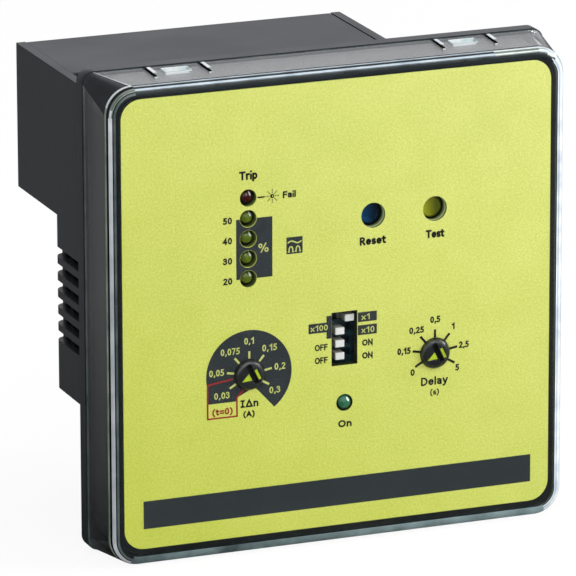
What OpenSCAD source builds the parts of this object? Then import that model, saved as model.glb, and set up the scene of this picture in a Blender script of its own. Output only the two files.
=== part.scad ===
// Flush-mounting earth leakage relay with a square 96 mm front and a clear cover that clips on.
// Millimetres. X points right as seen from the front, Y points into the panel, Z points up.
// The origin is the middle of the flange's rear face, which lies on the panel.
// A size called "stand" is a distance in front of the panel plane.

/* [Flange and collar] */
// Side of the square flange
front_w = 96; // [95:0.5:98]
// Thickness of the flange
flange_t = 3; // [2.6:0.1:4]
// Corner radius of the flange
flange_r = 2.5; // [1.5:0.1:4]
// How far the flange covers the panel beside the square hole
seat_w = 2; // [1.6:0.1:2.2]
// Play between the collar and the hole, on each side
collar_play = 0.4; // [0.2:0.05:0.8]
// Thickness of the platform that fills the hole behind the flange
platform_t = 1; // [0.6:0.1:1.5]
// Depth of the collar behind the panel
collar_d = 4.5; // [3:0.5:5]
// Wall of the collar
collar_t = 1.6; // [1.2:0.1:1.8]

/* [Clear cover] */
// Step from the flange's edge to the cover
cover_inset = 0.2; // [0:0.05:0.4]
// Wall of the cover
cover_t = 1.2; // [1:0.1:1.4]
// Air gap beside the box at the cover's rear edge
side_gap = 0.9; // [0.8:0.05:1.2]
// Air gap above the box at the cover's rear edge
top_gap = 0.6; // [0.6:0.05:1]
// How far each side of the cover leans in towards the front
cover_draft = 0.4; // [0.1:0.05:0.5]
// Corner radius of the cover at its rear edge
cover_rear_r = 2.2; // [1.8:0.1:3]
// Corner radius of the cover at its front
cover_front_r = 5.5; // [4.5:0.1:6]
// Radius of the cover's front edge
cover_edge_r = 2; // [1.4:0.1:2.4]
// Thickness of the cover's front pane
pane_t = 1; // [0.8:0.1:1.4]
// Air gap between the face plate and the pane
pane_gap = 1; // [1:0.1:2]
// Distance from the middle to each pair of snap tongues
snap_x = 29.8; // [24:0.2:33]
// Width of a snap tongue
tongue_w = 10.4; // [8:0.2:13]
// Width of the slits beside a tongue
slit_w = 0.7; // [0.5:0.1:1.2]
// Length of the slits
slit_l = 6.8; // [5:0.1:8]
// Width of the catch window in a tongue
catch_w = 5.4; // [3:0.1:6.4]
// Length of the catch window
catch_l = 2.6; // [2:0.1:3]
// Distance from the cover's rear edge to the middle of the catch window
catch_at = 2.9; // [2.4:0.1:3.4]
// Height of the catch on the box
catch_h = 0.45; // [0.3:0.05:0.5]

/* [Box and face plate] */
// Distance from the panel plane to the face plate's front
face_stand = 14.6; // [14:0.1:16]
// Thickness of the face plate
plate_t = 2; // [1.6:0.1:2.4]
// Width of the box's rim round the face plate
rim_t = 1.2; // [1:0.1:1.5]
// Width of the ledge behind the face plate
ledge_w = 1.2; // [0.8:0.1:2]
// Corner radius of the face plate
plate_r = 4; // [3:0.1:5.5]
// Gap round the face plate
plate_gap = 0.1; // [0.05:0.05:0.2]

/* [Lamps and push buttons] */
// Diameter of a lamp
lamp_d = 3; // [2.8:0.1:3.2]
// Diameter of the holes over the lamps
lamp_hole_d = 3.4; // [3.3:0.1:3.8]
// Left and right place of the lamp column
lamp_x = -18.7; // [-22:0.1:-15]
// Step from the top level lamp up to the trip lamp
trip_rise = 4.1; // [3.8:0.1:5]
// Height of the top level lamp
level_z = 19.1; // [18.6:0.1:19.4]
// Step between level lamps
level_pitch = 4; // [3.9:0.05:4.2]
// Number of level lamps
level_n = 4; // [2:1:5]
// Left and right place of the supply lamp
on_x = 1.2; // [-2:0.1:4]
// Height of the supply lamp
on_z = -20; // [-23:0.1:-18]
// How far the supply lamp stands proud of the plate
on_proud = 0.7; // [0.2:0.05:0.7]
// How deep the other lamps' tips lie below the plate's front
lamp_sunk = 0.3; // [0:0.05:0.6]
// Length of a lamp
lamp_l = 5.3; // [4.8:0.1:6]
// Thickness of the rim at a lamp's base
lamp_rim_t = 1; // [0.8:0.1:1.2]
// How far that rim stands out
lamp_rim_over = 0.25; // [0.15:0.05:0.3]
// Height of the two buttons
button_z = 17.1; // [14:0.1:19]
// Left and right place of the reset button
reset_x = 7.2; // [5:0.1:9]
// Left and right place of the test button
test_x = 20.1; // [17:0.1:24]
// Diameter of the button holes
button_hole_d = 5; // [4.8:0.1:5.6]
// Gap round a button in its hole
button_gap = 0.35; // [0.25:0.05:0.5]
// Depth of a button below the plate's front
button_sunk = 1.8; // [1.5:0.1:2.2]
// Travel of a button
button_travel = 0.5; // [0.25:0.05:0.5]
// Side of a push switch body
push_w = 6; // [5.6:0.1:7]
// Height of a push switch body
push_h = 3.5; // [3.2:0.1:3.8]
// Diameter of a push switch plunger
plunger_d = 3.4; // [2.8:0.1:3.6]

/* [Dials] */
// Left and right place of the current dial
current_x = -18.6; // [-22:0.1:-16]
// Left and right place of the delay dial
delay_x = 20.2; // [17:0.1:23]
// Height of both dials
dial_z = -12.1; // [-14:0.1:-10]
// Diameter of a dial knob
knob_d = 6; // [5.8:0.1:6.4]
// How far a knob stands proud of the plate
knob_proud = 0.7; // [0.2:0.05:0.7]
// Gap round a knob in its hole
knob_gap = 0.12; // [0.08:0.02:0.3]
// Length of the knob's head
knob_head_l = 2.8; // [2.5:0.1:3.2]
// Radius of the knob's front edge
knob_edge_r = 0.4; // [0.3:0.05:0.45]
// Width of the screwdriver slot
knob_slot_w = 1; // [0.8:0.05:1.1]
// Length of the screwdriver slot
knob_slot_l = 4.2; // [3.6:0.1:4.4]
// How far the slot lies off the knob's middle, away from the arrow's head
slot_off = 0.5; // [0.3:0.05:0.55]
// Depth of the screwdriver slot
knob_slot_d = 1; // [0.6:0.1:1.6]
// Diameter of the knob's shaft
knob_shaft_d = 3.1; // [2.6:0.1:3.6]
// Side of a dial switch body
dial_body_w = 9.6; // [8:0.1:11]
// Gap between a dial switch body and the knob's head
dial_gap = 1.1; // [0.8:0.1:1.6]
// Direction in which the arrows point at rest, from +X towards +Z
pointer_deg = 206; // [200:1:220]
// Depth of the arrow's pockets in a knob
arrow_d = 0.3; // [0.2:0.05:0.5]
// Distance from the knob's middle to the arrow's tip
arrow_tip = 2.25; // [2:0.05:2.35]
// How far the arrow's tip lies off the knob's middle, along the slot
arrow_off = 0.35; // [0:0.05:0.4]
// Width of the arrow's head
arrow_w = 1.65; // [1.2:0.05:1.8]
// Width of the bar behind the slot
arrow_bar_w = 0.6; // [0.4:0.05:0.7]
// Length of that bar
arrow_bar_l = 2.2; // [1.6:0.1:2.3]
// Black strip between the slot and the arrow, on both sides
arrow_gap = 0.1; // [0.05:0.05:0.15]

/* [Code switch] */
// Left and right place of the code switch
dip_x = 1.6; // [0:0.1:3]
// Height of the code switch's middle
dip_z = -7; // [-9:0.1:-5]
// Number of sliders
dip_n = 4; // [4:1:4]
// Step between sliders
dip_pitch = 2.54; // [2.5:0.01:2.7]
// Travel of a slider
dip_travel = 2; // [1.4:0.1:2.2]
// Width of the slider's grip, along its travel
grip_w = 1.9; // [1.4:0.1:2]
// Height of the slider's grip
grip_h = 1.4; // [1.1:0.1:1.6]
// Depth of the sliders' fronts below the plate's front
grip_sunk = 0.8; // [0.4:0.1:1.6]
// Width of the switch body
dip_body_w = 7.4; // [7:0.1:9]
// Height of the switch body off its board
dip_body_h = 5; // [4.6:0.1:5.4]
// Width of the window in the face plate
dip_window_w = 5.4; // [5:0.1:6.4]
// How far the window reaches past the outer sliders' middles, both ends together
dip_window_over = 3.2; // [2.6:0.1:3.8]
// Left and right place of the window's middle
dip_window_x = 1.2; // [1:0.1:1.8]

/* [Front board] */
// Distance from the panel plane to the back of the front board
board_stand = 4.8; // [4.5:0.1:5.2]
// Thickness of every circuit board
board_t = 1.6; // [1.4:0.1:1.8]
// Gap between the front board and the box's sides
board_side_gap = 1.3; // [0.8:0.1:2]
// Gap between the front board and the box's lower side
board_low_gap = 1.6; // [1:0.1:2.5]
// Height of the front board
board_h = 72; // [70:0.5:76]
// Inset of the board screws from the board's edges
board_screw_in = 3; // [2.6:0.1:4]

/* [Housing behind the panel] */
// Wall of the housing
wall = 1.9; // [1.6:0.1:2.2]
// Gap between the housing's left side and the panel hole
case_left_play = 0.5; // [0.5:0.05:1]
// Gap between the housing's top and the panel hole
case_top_play = 2.7; // [2.5:0.1:3]
// Width of the housing
case_w = 68.7; // [66:0.1:72]
// Height of the whole housing
case_h = 64.8; // [62:0.1:68]
// Height of the deep part
deep_h = 29.3; // [28.5:0.1:31]
// Depth of the deep part behind the panel
deep_d = 42; // [41:0.2:50]
// Depth of the shallow part behind the panel
shallow_d = 21.8; // [18.2:0.2:22.6]
// Plan radius of the shallow part's rear corners
corner_r = 2.5; // [1:0.1:3.5]
// Step from the deep part's side to the shallow part's side
side_relief = 0.2; // [0.1:0.05:0.4]
// Thickness of the top lid
lid_t = 1.8; // [1.5:0.1:2.2]
// How far the lid lies below the side walls
lid_sunk = 0.1; // [0:0.05:0.3]
// Width of the rabbet under the lid
lid_rest = 1; // [0.6:0.1:1.6]
// Width of the notch at the lid's front left corner
lid_notch_w = 2.4; // [1.6:0.1:3]
// Distance from the panel plane to the notch's rear end
lid_notch_y = 15.2; // [12:0.1:18]
// Number of vent slots
vent_n = 6; // [3:1:6]
// Step between vent slots
vent_pitch = 3.41; // [3:0.01:3.5]
// Height of a vent slot
vent_h = 1.95; // [1.4:0.05:2.2]
// Distance from the step down to the first vent slot
vent_drop = 6.65; // [5:0.05:6.8]
// Distance from the panel plane to where the vent slots begin
vent_front = 6; // [6:0.5:10]

/* [Fasteners] */
// Thread diameter of the housing screws
case_screw_d = 2.2; // [2:0.1:2.4]
// Length of the housing screws under the head
case_screw_l = 9; // [7:0.5:9]
// Thread diameter of the board screws
board_screw_d = 2; // [1.8:0.1:2.2]
// Length of the board screws under the head
board_screw_l = 4.5; // [4:0.1:5]
// Wall round a screw's pilot hole
boss_t = 1.5; // [1.3:0.1:1.6]

/* [Power board] */
// Height of the power board's underside above the deep part's floor
power_rise = 1.6; // [1.2:0.1:2]
// Gap between the power board and the side walls
power_gap = 0.4; // [0.3:0.1:0.8]
// Distance from the panel plane to the power board
power_front = 2.6; // [2:0.1:3]
// Length of the power board's tongue in front of the panel plane
power_tongue = 2; // [1.4:0.1:2.4]
// Left edge of the tongue
tongue_left = -20; // [-24:0.5:-16]
// Right edge of the tongue
tongue_right = 8; // [6:0.5:10]
// Number of pins in the header between the boards
header_n = 10; // [6:1:10]
// Pitch of the header pins
header_pitch = 2.54; // [2:0.27:2.54]
// Height of the header above the power board
header_h = 2; // [1.6:0.1:3]
// How far the header hangs below the power board
header_drop = 0.9; // [0.6:0.1:1.2]
// How far the header lies on the power board behind the panel plane
header_back = 1.5; // [1:0.1:2]
// Depth of the window that the tongue passes through, upwards from the board
pass_h = 15; // [13:0.5:16]

/* [Transformer] */
// Width of the transformer's core
core_w = 30; // [28:0.5:32]
// Depth of the core
core_d = 25; // [23:0.5:26]
// Height of the stack of core plates
stack_h = 12; // [10:0.5:13]
// Width of the core's middle leg
leg_w = 10; // [8:0.5:11]
// Width of each outer leg
yoke_w = 5; // [4:0.5:5.5]
// Height of the coil
coil_h = 17.4; // [16:0.1:18]
// Gap between the housing's side wall and the core
core_side_gap = 2.1; // [1.5:0.1:3]
// Distance from the panel plane to the core
core_front = 3.4; // [3:0.1:4]
// Thickness of the bobbin
bobbin_t = 0.9; // [0.7:0.1:1.2]

/* [Relays and capacitors] */
// Width of an output relay
relay_w = 12.7; // [12:0.1:13]
// Depth of an output relay
relay_d = 29; // [27:0.5:29]
// Height of an output relay
relay_h = 15.7; // [14:0.1:17]
// Gap between the output relays
relay_gap = 1; // [0.6:0.1:1.4]
// Gap between the housing's side wall and the output relays
relay_side_gap = 1.6; // [1.2:0.1:2.4]
// Distance from the panel plane to the output relays
relay_front = 5.6; // [4:0.1:6]
// Diameter of a capacitor
cap_d = 8; // [6.3:0.1:8.4]
// Height of a capacitor
cap_h = 12; // [10:0.5:16]

/* [Terminals] */
// Poles in each terminal block
pole_n = 5; // [3:1:5]
// Pitch of the poles
pole_pitch = 5.08; // [5:0.04:5.2]
// Height of a terminal block
block_h = 10; // [9:0.1:11]
// Height of the blocks' middle
block_z = -3; // [-5:0.1:-1]
// How far a block stands behind the shallow part
block_out = 11; // [10:0.1:13]
// Gap between a block and the window in the rear wall
block_gap = 0.2; // [0.1:0.05:0.3]
// Distance from the rear wall to the terminal board
terminal_space = 1.7; // [1.4:0.1:2.2]
// Width of a wire entry
entry_w = 3.6; // [3:0.1:3.9]
// Depth of a wire entry
entry_d = 3.9; // [3.4:0.1:3.9]
// How far a wire entry reaches up into the block
entry_up = 7; // [6:0.1:8]
// Wall between a wire entry and the block's rear
entry_wall = 4.2; // [3.6:0.1:4.6]
// Chamfer along the block's upper rear edge
block_chamfer = 1.4; // [0.8:0.1:2]
// Thickness of the plate that a terminal screw presses on the wire
clamp_t = 0.8; // [0.6:0.1:1]
// Diameter of a terminal screw's head
terminal_head_d = 3.8; // [3.4:0.1:4]
// Height of a terminal screw's head
terminal_head_h = 1.6; // [1.2:0.1:1.8]
// Thread diameter of a terminal screw
terminal_screw_d = 2.6; // [2.2:0.1:3]

/* [Hidden] */
$fn = 48;
eps = 0.5;
slip = 0.05;

charcoal = "#33373a";
clear = [0.8, 0.88, 0.9, 0.3];
lime = "#cdd868";
ink = "#2c3236";
board_green = "#2f6b46";

// Sizes that follow from the flange: the cover, then the box, then the face plate
half = front_w / 2;
cutout_half = half - seat_w;
cover_half = half - cover_inset;
cover_front_half = cover_half - cover_draft;
box_half_x = cover_half - cover_t - side_gap;
box_half_z = cover_half - cover_t - top_gap;
face_half_x = box_half_x - rim_t;
face_half_z = box_half_z - rim_t;
box_r = plate_r + rim_t;
box_in_x = face_half_x - ledge_w;
box_in_z = face_half_z - ledge_w;
pane_in = face_stand + pane_gap;
cover_front = pane_in + pane_t;
cover_rear = flange_t + slip;
inner_edge_r = max(cover_edge_r - cover_t, 0.4);

// Stands of the parts on the front board
board_front = board_stand + board_t;
plate_back = face_stand - plate_t;
button_front = face_stand - button_sunk;
button_r = button_hole_d / 2 - button_gap;
push_front = board_front + push_h;
plunger_front = button_front - 0.8;
knob_front = face_stand + knob_proud;
knob_back = knob_front - knob_head_l;
dial_front = knob_back - dial_gap;
dip_front = board_front + dip_body_h;
dip_lip = 0.8;
foot_t = 1;
foot_over = 0.4;
trip_z = level_z + trip_rise;
dip_window_h = (dip_n - 1) * dip_pitch + dip_window_over;
led_base_on = face_stand + on_proud - lamp_l;
led_base = face_stand - lamp_sunk - lamp_l;

// Places of the housing behind the panel
case_left = case_left_play - cutout_half;
case_right = case_left + case_w;
case_top_z = cutout_half - case_top_play;
case_low_z = case_top_z - case_h;
case_step_z = case_top_z - deep_h;
collar_half = cutout_half - collar_play;
in_left = case_left + wall;
in_right = case_right - wall;
in_low = case_low_z + wall;
in_deep = deep_d - wall;
in_shallow = shallow_d - wall;
floor_z = case_step_z + wall;
lid_top = case_top_z - lid_sunk;
lid_low = lid_top - lid_t;
case_boss_r = case_screw_d / 2 + boss_t;
boss_sunk = 0.25;
case_screw_x = [in_left + case_boss_r - boss_sunk, in_right - case_boss_r + boss_sunk];
case_screw_z = [in_low + case_boss_r - boss_sunk, lid_low - case_boss_r - boss_sunk];
board_w = 2 * (box_in_x - board_side_gap);
board_bottom = board_low_gap - box_in_z;
board_top = board_bottom + board_h;
board_boss_r = board_screw_d / 2 + boss_t;
board_screw_x = [-board_w / 2 + board_screw_in, board_w / 2 - board_screw_in];
board_screw_z = [board_bottom + board_screw_in, board_top - board_screw_in];

// Places inside the deep part
power_z = floor_z + power_rise;
power_top = power_z + board_t;
rail_w = 1.5;
rail_t = 1.2;
core_left = in_left + core_side_gap;
coil_mid_z = power_top + 0.1 + coil_h / 2;
core_mid_x = core_left + core_w / 2;
core_mid_y = core_front + core_d / 2;
window_w = core_w / 2 - yoke_w - leg_w / 2;
window_d = core_d - 2 * yoke_w;
relay_left = in_right - relay_side_gap - 2 * relay_w - relay_gap;
cap_y = in_deep - cap_d / 2 - 0.5;

// Places of the terminals
terminal_rear = in_shallow - terminal_space;
block_w = pole_n * pole_pitch;
block_mid_x = (in_left + in_right) / 2;
block_rear = shallow_d + block_out;
block_lefts = [block_mid_x - block_w - 0.1, block_mid_x + 0.1];
pole_xs = [for (left = block_lefts) for (i = [0 : pole_n - 1]) left + (i + 0.5) * pole_pitch];
entry_y = block_rear - entry_wall - entry_d / 2;
head_sunk = 0.4;
screw_reach = 1;

// Extrudes a drawing of X and Z from one stand forward to another
module forward(from, to)
  translate([0, -from, 0]) rotate([90, 0, 0]) linear_extrude(to - from) children();

// Turns a profile of radius and stand about an axis along Y
module turned(x, z)
  translate([x, 0, z]) rotate([90, 0, 0]) rotate_extrude() children();

// A straight pin or hole along Y, between two stands
module rod(x, z, r, from, to)
  translate([x, -from, z]) rotate([90, 0, 0]) cylinder(r = r, h = to - from);

// A block between two corners
module block(low, high)
  translate(low) cube(high - low);

module rounded(half_x, half_z, r) {
  square([2 * half_x, 2 * (half_z - r)], center = true);
  square([2 * (half_x - r), 2 * half_z], center = true);
  for (x = [-1, 1], z = [-1, 1])
    translate([x * (half_x - r), z * (half_z - r)]) circle(r);
}

// One closed form of the cover: a leaning box whose corners open out to the front,
// with its front edge rounded in steps
module cover_form(rear_half, front_half, rear_r, front_r, rear, front, edge_r) {
  edge_steps = 6;
  slab = 0.01;
  hull() {
    forward(rear, rear + slab) rounded(rear_half, rear_half, rear_r, $fn = 32);
    for (i = [0 : edge_steps]) {
      turn = 90 * i / edge_steps;
      shrink = edge_r * (1 - cos(turn));
      stand = front - edge_r * (1 - sin(turn));
      forward(stand - slab, stand)
        rounded(front_half - shrink, front_half - shrink, front_r - shrink, $fn = 32);
    }
  }
}

module snap_openings() {
  reach = cover_half + 1;
  inside = cover_half - cover_t - 3 * eps;
  for (x = [-snap_x, snap_x], up = [0, 1]) mirror([0, 0, up]) {
    for (side = [-1, 1])
      translate([x + side * (tongue_w + slit_w) / 2 - slit_w / 2, -cover_rear - slit_l, inside])
        cube([slit_w, slit_l + eps, reach - inside]);
    translate([x - catch_w / 2, -cover_rear - catch_at - catch_l / 2, inside])
      cube([catch_w, catch_l, reach - inside]);
  }
}

module clear_cover() color(clear) difference() {
  cover_form(cover_half, cover_front_half, cover_rear_r, cover_front_r,
             cover_rear, cover_front, cover_edge_r);
  cover_form(cover_half - cover_t, cover_front_half - cover_t, cover_rear_r - cover_t + 0.4,
             cover_front_r - cover_t, cover_rear - eps, pane_in, inner_edge_r);
  snap_openings();
}

// The catch that a snap tongue's window drops over, on top of the box and below it
module catches() {
  front = cover_rear + catch_at + catch_l / 2 - 0.3;
  rear = cover_rear + catch_at - catch_l / 2 + 0.1;
  for (x = [-snap_x, snap_x], up = [0, 1]) mirror([0, 0, up])
    translate([x - catch_w / 2 + 0.3, 0, box_half_z]) rotate([90, 0, 90])
      linear_extrude(catch_w - 0.6)
        polygon([[-front, 0], [-rear - 0.5, catch_h], [-rear, catch_h], [-rear, -eps], [-front, -eps]]);
}

// Fills the panel's hole behind the flange, with a collar on it. The housing stands on the
// platform, in a gap of the collar.
module platform() {
  forward(-platform_t, eps) rounded(collar_half, collar_half, flange_r);
  difference() {
    forward(-collar_d, 0) rounded(collar_half, collar_half, flange_r);
    forward(-collar_d - 1, 1)
      rounded(collar_half - collar_t, collar_half - collar_t, flange_r - 1);
    block([-half, platform_t, case_low_z - 0.1], [case_right, collar_d + 1, case_top_z + 0.1]);
  }
}

module front_frame() color(charcoal) difference() {
  union() {
    difference() {
      union() {
        forward(0, flange_t) rounded(half, half, flange_r);
        forward(0, face_stand) rounded(box_half_x, box_half_z, box_r);
        catches();
      }
      forward(plate_back, face_stand + 1)
        rounded(face_half_x + plate_gap, face_half_z + plate_gap, plate_r);
      forward(flange_t, plate_back + 0.1) rounded(box_in_x, box_in_z, plate_r - 1);
    }
    for (x = board_screw_x, z = board_screw_z) rod(x, z, board_boss_r, eps, board_stand);
    platform();
  }
  for (x = board_screw_x, z = board_screw_z)
    rod(x, z, board_screw_d / 2 + slip, 0.8, board_stand + 1);
  for (x = case_screw_x, z = case_screw_z)
    rod(x, z, case_screw_d / 2 + 0.1, -platform_t - 1, flange_t + 1);
  block([tongue_left - 2, -flange_t - 1, power_z - 1.5],
        [tongue_right + 2, platform_t + 1, power_z + pass_h]);
}

module face_holes() {
  for (z = concat([trip_z], [for (i = [0 : level_n - 1]) level_z - i * level_pitch]))
    translate([lamp_x, z]) circle(d = lamp_hole_d);
  translate([on_x, on_z]) circle(d = lamp_hole_d);
  for (x = [reset_x, test_x]) translate([x, button_z]) circle(d = button_hole_d);
  for (x = [current_x, delay_x]) translate([x, dial_z]) circle(r = knob_d / 2 + knob_gap);
  translate([dip_window_x, dip_z]) square([dip_window_w, dip_window_h], center = true);
}

module face_plate() color(lime)
  forward(plate_back, face_stand) difference() {
    rounded(face_half_x, face_half_z, plate_r);
    face_holes();
  }

module shallow_plan() {
  left = case_left + side_relief;
  square_d = shallow_d - corner_r;
  translate([left, platform_t]) square([case_right - left, square_d - platform_t]);
  translate([left + corner_r, platform_t])
    square([case_right - left - 2 * corner_r, shallow_d - platform_t]);
  for (x = [left + corner_r, case_right - corner_r]) translate([x, square_d]) circle(corner_r);
}

module vents() {
  for (i = [0 : vent_n - 1])
    translate([case_left - 1, vent_front, case_step_z - vent_drop - i * vent_pitch - vent_h])
      cube([wall + 1, shallow_d, vent_h]);
}

module case_bosses() {
  boss_l = case_screw_l + 1;
  for (x = case_screw_x, z = case_screw_z) difference() {
    rod(x, z, case_boss_r, -boss_l, -platform_t);
    rod(x, z, case_screw_d / 2 + slip, 1 - boss_l, 1);
  }
}

// Strips that carry the power board: on the deep part's floor, and on the side walls in front
module rails() {
  block([in_left - eps, power_front, power_z - rail_t],
        [in_left + rail_w, in_deep + eps, power_z]);
  block([in_right - rail_w, power_front, power_z - rail_t],
        [in_right + eps, in_deep + eps, power_z]);
  block([in_left - eps, in_deep - rail_w, floor_z - eps], [in_right + eps, in_deep + eps, power_z]);
}

// Pads between the rear wall and the terminal board
module board_pads() {
  for (x = [in_left + 1.5, in_right - 4.5])
    block([x, terminal_rear, in_low + 2], [x + 3, in_shallow + eps, in_low + 7]);
}

module rear_case() color(charcoal) {
  difference() {
    union() {
      translate([0, 0, case_low_z]) linear_extrude(floor_z - case_low_z) shallow_plan();
      block([case_left, platform_t, case_step_z], [case_right, deep_d, case_top_z]);
    }
    block([in_left, -1, in_low], [in_right, in_shallow, case_top_z + 1]);
    block([in_left, -1, floor_z], [in_right, in_deep, case_top_z + 1]);
    block([in_left, -1, lid_low], [in_right, deep_d + 1, case_top_z + 1]);
    vents();
    block([block_lefts[0] - block_gap, in_shallow - 1, block_z - block_h / 2 - block_gap],
          [block_lefts[1] + block_w + block_gap, shallow_d + 1, block_z + block_h / 2 + block_gap]);
  }
  for (x = [in_left - eps, in_right - lid_rest])
    block([x, platform_t, lid_low - 1], [x + lid_rest + eps, in_deep + eps, lid_low]);
  case_bosses();
  rails();
  board_pads();
}

module top_lid() color(charcoal) difference() {
  block([in_left + slip, platform_t, lid_low], [in_right - slip, deep_d, lid_top]);
  block([in_left - 1, platform_t - 1, lid_low - 1], [in_left + lid_notch_w, lid_notch_y, lid_top + 1]);
}

// A coloured cap with a blind hole that grips the plunger
module button_cap(x) difference() {
  edge = 0.3;
  turned(x, button_z)
    polygon([[0, push_front + button_travel + 0.2], [button_r, push_front + button_travel + 0.2],
             [button_r, button_front - edge], [button_r - edge, button_front], [0, button_front]]);
  rod(x, button_z, plunger_d / 2 + 0.02, push_front, plunger_front + 0.02);
}

module reset_button() color("#1f6fae") button_cap(reset_x);

module test_button() color("#a9b53c") button_cap(test_x);

module plunger(x)
  rod(x, button_z, plunger_d / 2, board_front + button_travel + 0.6, plunger_front);

module reset_plunger() color(ink) plunger(reset_x);

module test_plunger() color(ink) plunger(test_x);

module push_switches() color("#26292b")
  for (x = [reset_x, test_x]) difference() {
    forward(board_front, push_front)
      translate([x, button_z]) square(push_w, center = true);
    rod(x, button_z, plunger_d / 2 + slip, board_front + 0.5, push_front + 1);
  }

function slider_z(i) = dip_z + ((dip_n - 1) / 2 - i) * dip_pitch;

module code_switch() color(ink) difference() {
  grip_run = dip_travel + grip_w + 0.2;
  foot_run = dip_travel + grip_w + 2 * foot_over + 0.2;
  forward(board_front, dip_front) translate([dip_x, dip_z])
    square([dip_body_w, (dip_n - 1) * dip_pitch + 4], center = true);
  for (i = [0 : dip_n - 1]) {
    forward(dip_front - dip_lip - eps, dip_front + 1) translate([dip_x, slider_z(i)])
      square([grip_run, grip_h + 0.2], center = true);
    forward(dip_front - dip_lip - foot_t - 0.2, dip_front - dip_lip)
      translate([dip_x, slider_z(i)]) square([foot_run, grip_h + 0.6], center = true);
  }
}

// A slider's grip on the foot that the switch body traps
module slider(i, side) color("#e9e9e4") {
  x = dip_x + side * dip_travel / 2;
  foot_front = dip_front - dip_lip - 0.1;
  forward(foot_front - eps, face_stand - grip_sunk) translate([x, slider_z(i)])
    square([grip_w, grip_h], center = true);
  forward(foot_front - foot_t, foot_front) translate([x, slider_z(i)])
    square([grip_w + 2 * foot_over, grip_h + 0.4], center = true);
}

module slider_1() slider(0, 1);

module slider_2() slider(1, -1);

module slider_3() slider(2, -1);

module slider_4() slider(3, -1);

function knob_edge() = [for (i = [0 : 5])
  [knob_d / 2 - knob_edge_r + knob_edge_r * cos(18 * i),
   knob_front - knob_edge_r + knob_edge_r * sin(18 * i)]];

// The two parts of the arrow, pointing along X: its head, and a bar beyond the slot
module arrow() {
  side = knob_slot_w / 2 + arrow_gap;
  low = arrow_off - arrow_w / 2;
  polygon([[side - slot_off, low], [arrow_tip, arrow_off], [side - slot_off, low + arrow_w]]);
  translate([-slot_off - side - arrow_bar_w, low]) square([arrow_bar_w, arrow_bar_l]);
}

module knob(x) difference() {
  turned(x, dial_z)
    polygon(concat([[0, board_front + 1], [knob_shaft_d / 2, board_front + 1],
                    [knob_shaft_d / 2, knob_back], [knob_d / 2, knob_back]],
                   knob_edge(), [[0, knob_front]]));
  translate([x, 0, dial_z]) rotate([0, -pointer_deg, 0]) {
    block([-slot_off - knob_slot_w / 2, -knob_front - 1, -knob_slot_l / 2],
          [-slot_off + knob_slot_w / 2, knob_slot_d - knob_front, knob_slot_l / 2]);
    forward(knob_front - arrow_d, knob_front + 1) arrow();
  }
}

module current_knob() color("#191b1d") knob(current_x);

module delay_knob() color("#191b1d") knob(delay_x);

module selector(x) difference() {
  forward(board_front, dial_front) translate([x, dial_z]) square(dial_body_w, center = true);
  rod(x, dial_z, knob_shaft_d / 2 + slip, board_front + 0.6, dial_front + 1);
}

module current_selector() color("#3b4a63") selector(current_x);

module delay_selector() color("#3b4a63") selector(delay_x);

// A lamp: a domed cylinder on a wider rim
module lamp(x, z, base) {
  r = lamp_d / 2;
  dome = [for (i = [0 : 6]) [r * cos(15 * i), base + lamp_l - r + r * sin(15 * i)]];
  turned(x, z)
    polygon(concat([[0, base], [r + lamp_rim_over, base], [r + lamp_rim_over, base + lamp_rim_t],
                    [r, base + lamp_rim_t]], dome));
}

module trip_lamp() color("#5a1016") lamp(lamp_x, trip_z, led_base);

module level_lamps() color("#4d6b2a")
  for (i = [0 : level_n - 1]) lamp(lamp_x, level_z - i * level_pitch, led_base);

module supply_lamp() color("#2f6b4a") lamp(on_x, on_z, led_base_on);

module spacer(x, z, base) difference() {
  rod(x, z, lamp_d / 2 + 0.1, board_front, base);
  rod(x, z, lamp_d / 2 - 0.4, board_front - 1, base + 1);
}

module lamp_spacers() color("#1e2022") {
  spacer(lamp_x, trip_z, led_base);
  for (i = [0 : level_n - 1]) spacer(lamp_x, level_z - i * level_pitch, led_base);
  spacer(on_x, on_z, led_base_on);
}

module front_board() color(board_green) difference() {
  forward(board_stand, board_front) translate([-board_w / 2, board_bottom])
    square([board_w, board_top - board_bottom]);
  for (x = board_screw_x, z = board_screw_z)
    rod(x, z, board_screw_d / 2 + 0.2, board_stand - 1, board_front + 1);
}

// A pan-head screw whose head lies on a face at one stand and whose shank runs back from it
module screw(x, z, d, l, seat) {
  head_r = d * 0.9;
  head_h = d * 0.6;
  difference() {
    turned(x, z)
      polygon([[0, seat - l], [d * 0.3, seat - l], [d / 2, seat - l + d * 0.4], [d / 2, seat],
               [head_r, seat], [head_r, seat + head_h * 0.6], [head_r * 0.7, seat + head_h],
               [0, seat + head_h]]);
    for (turn = [0, 90]) translate([x, 0, z]) rotate([0, turn, 0])
      block([-d * 0.12, -seat - head_h - 1, -d * 0.5], [d * 0.12, -seat - head_h * 0.4, d * 0.5]);
  }
}

module board_screws() color("silver")
  for (x = board_screw_x, z = board_screw_z)
    screw(x, z, board_screw_d, board_screw_l, board_front);

module case_screws() color("silver")
  for (x = case_screw_x, z = case_screw_z)
    screw(x, z, case_screw_d, case_screw_l, flange_t);

module power_board() color(board_green) {
  block([in_left + power_gap, power_front, power_z],
        [in_right - power_gap, in_deep - power_gap, power_top]);
  block([tongue_left, -power_tongue, power_z], [tongue_right, power_front + eps, power_top]);
}

// The right-angled header that joins the front board to the power board's tongue
module board_header() color("#1c1d1f") {
  mid = (tongue_left + tongue_right) / 2;
  run = header_n * header_pitch;
  block([mid - run / 2, -board_stand, power_z - header_drop],
        [mid + run / 2, -power_tongue, power_top + header_h]);
  block([mid - run / 2, -power_tongue - slip, power_top],
        [mid + run / 2, header_back, power_top + header_h]);
}

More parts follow.
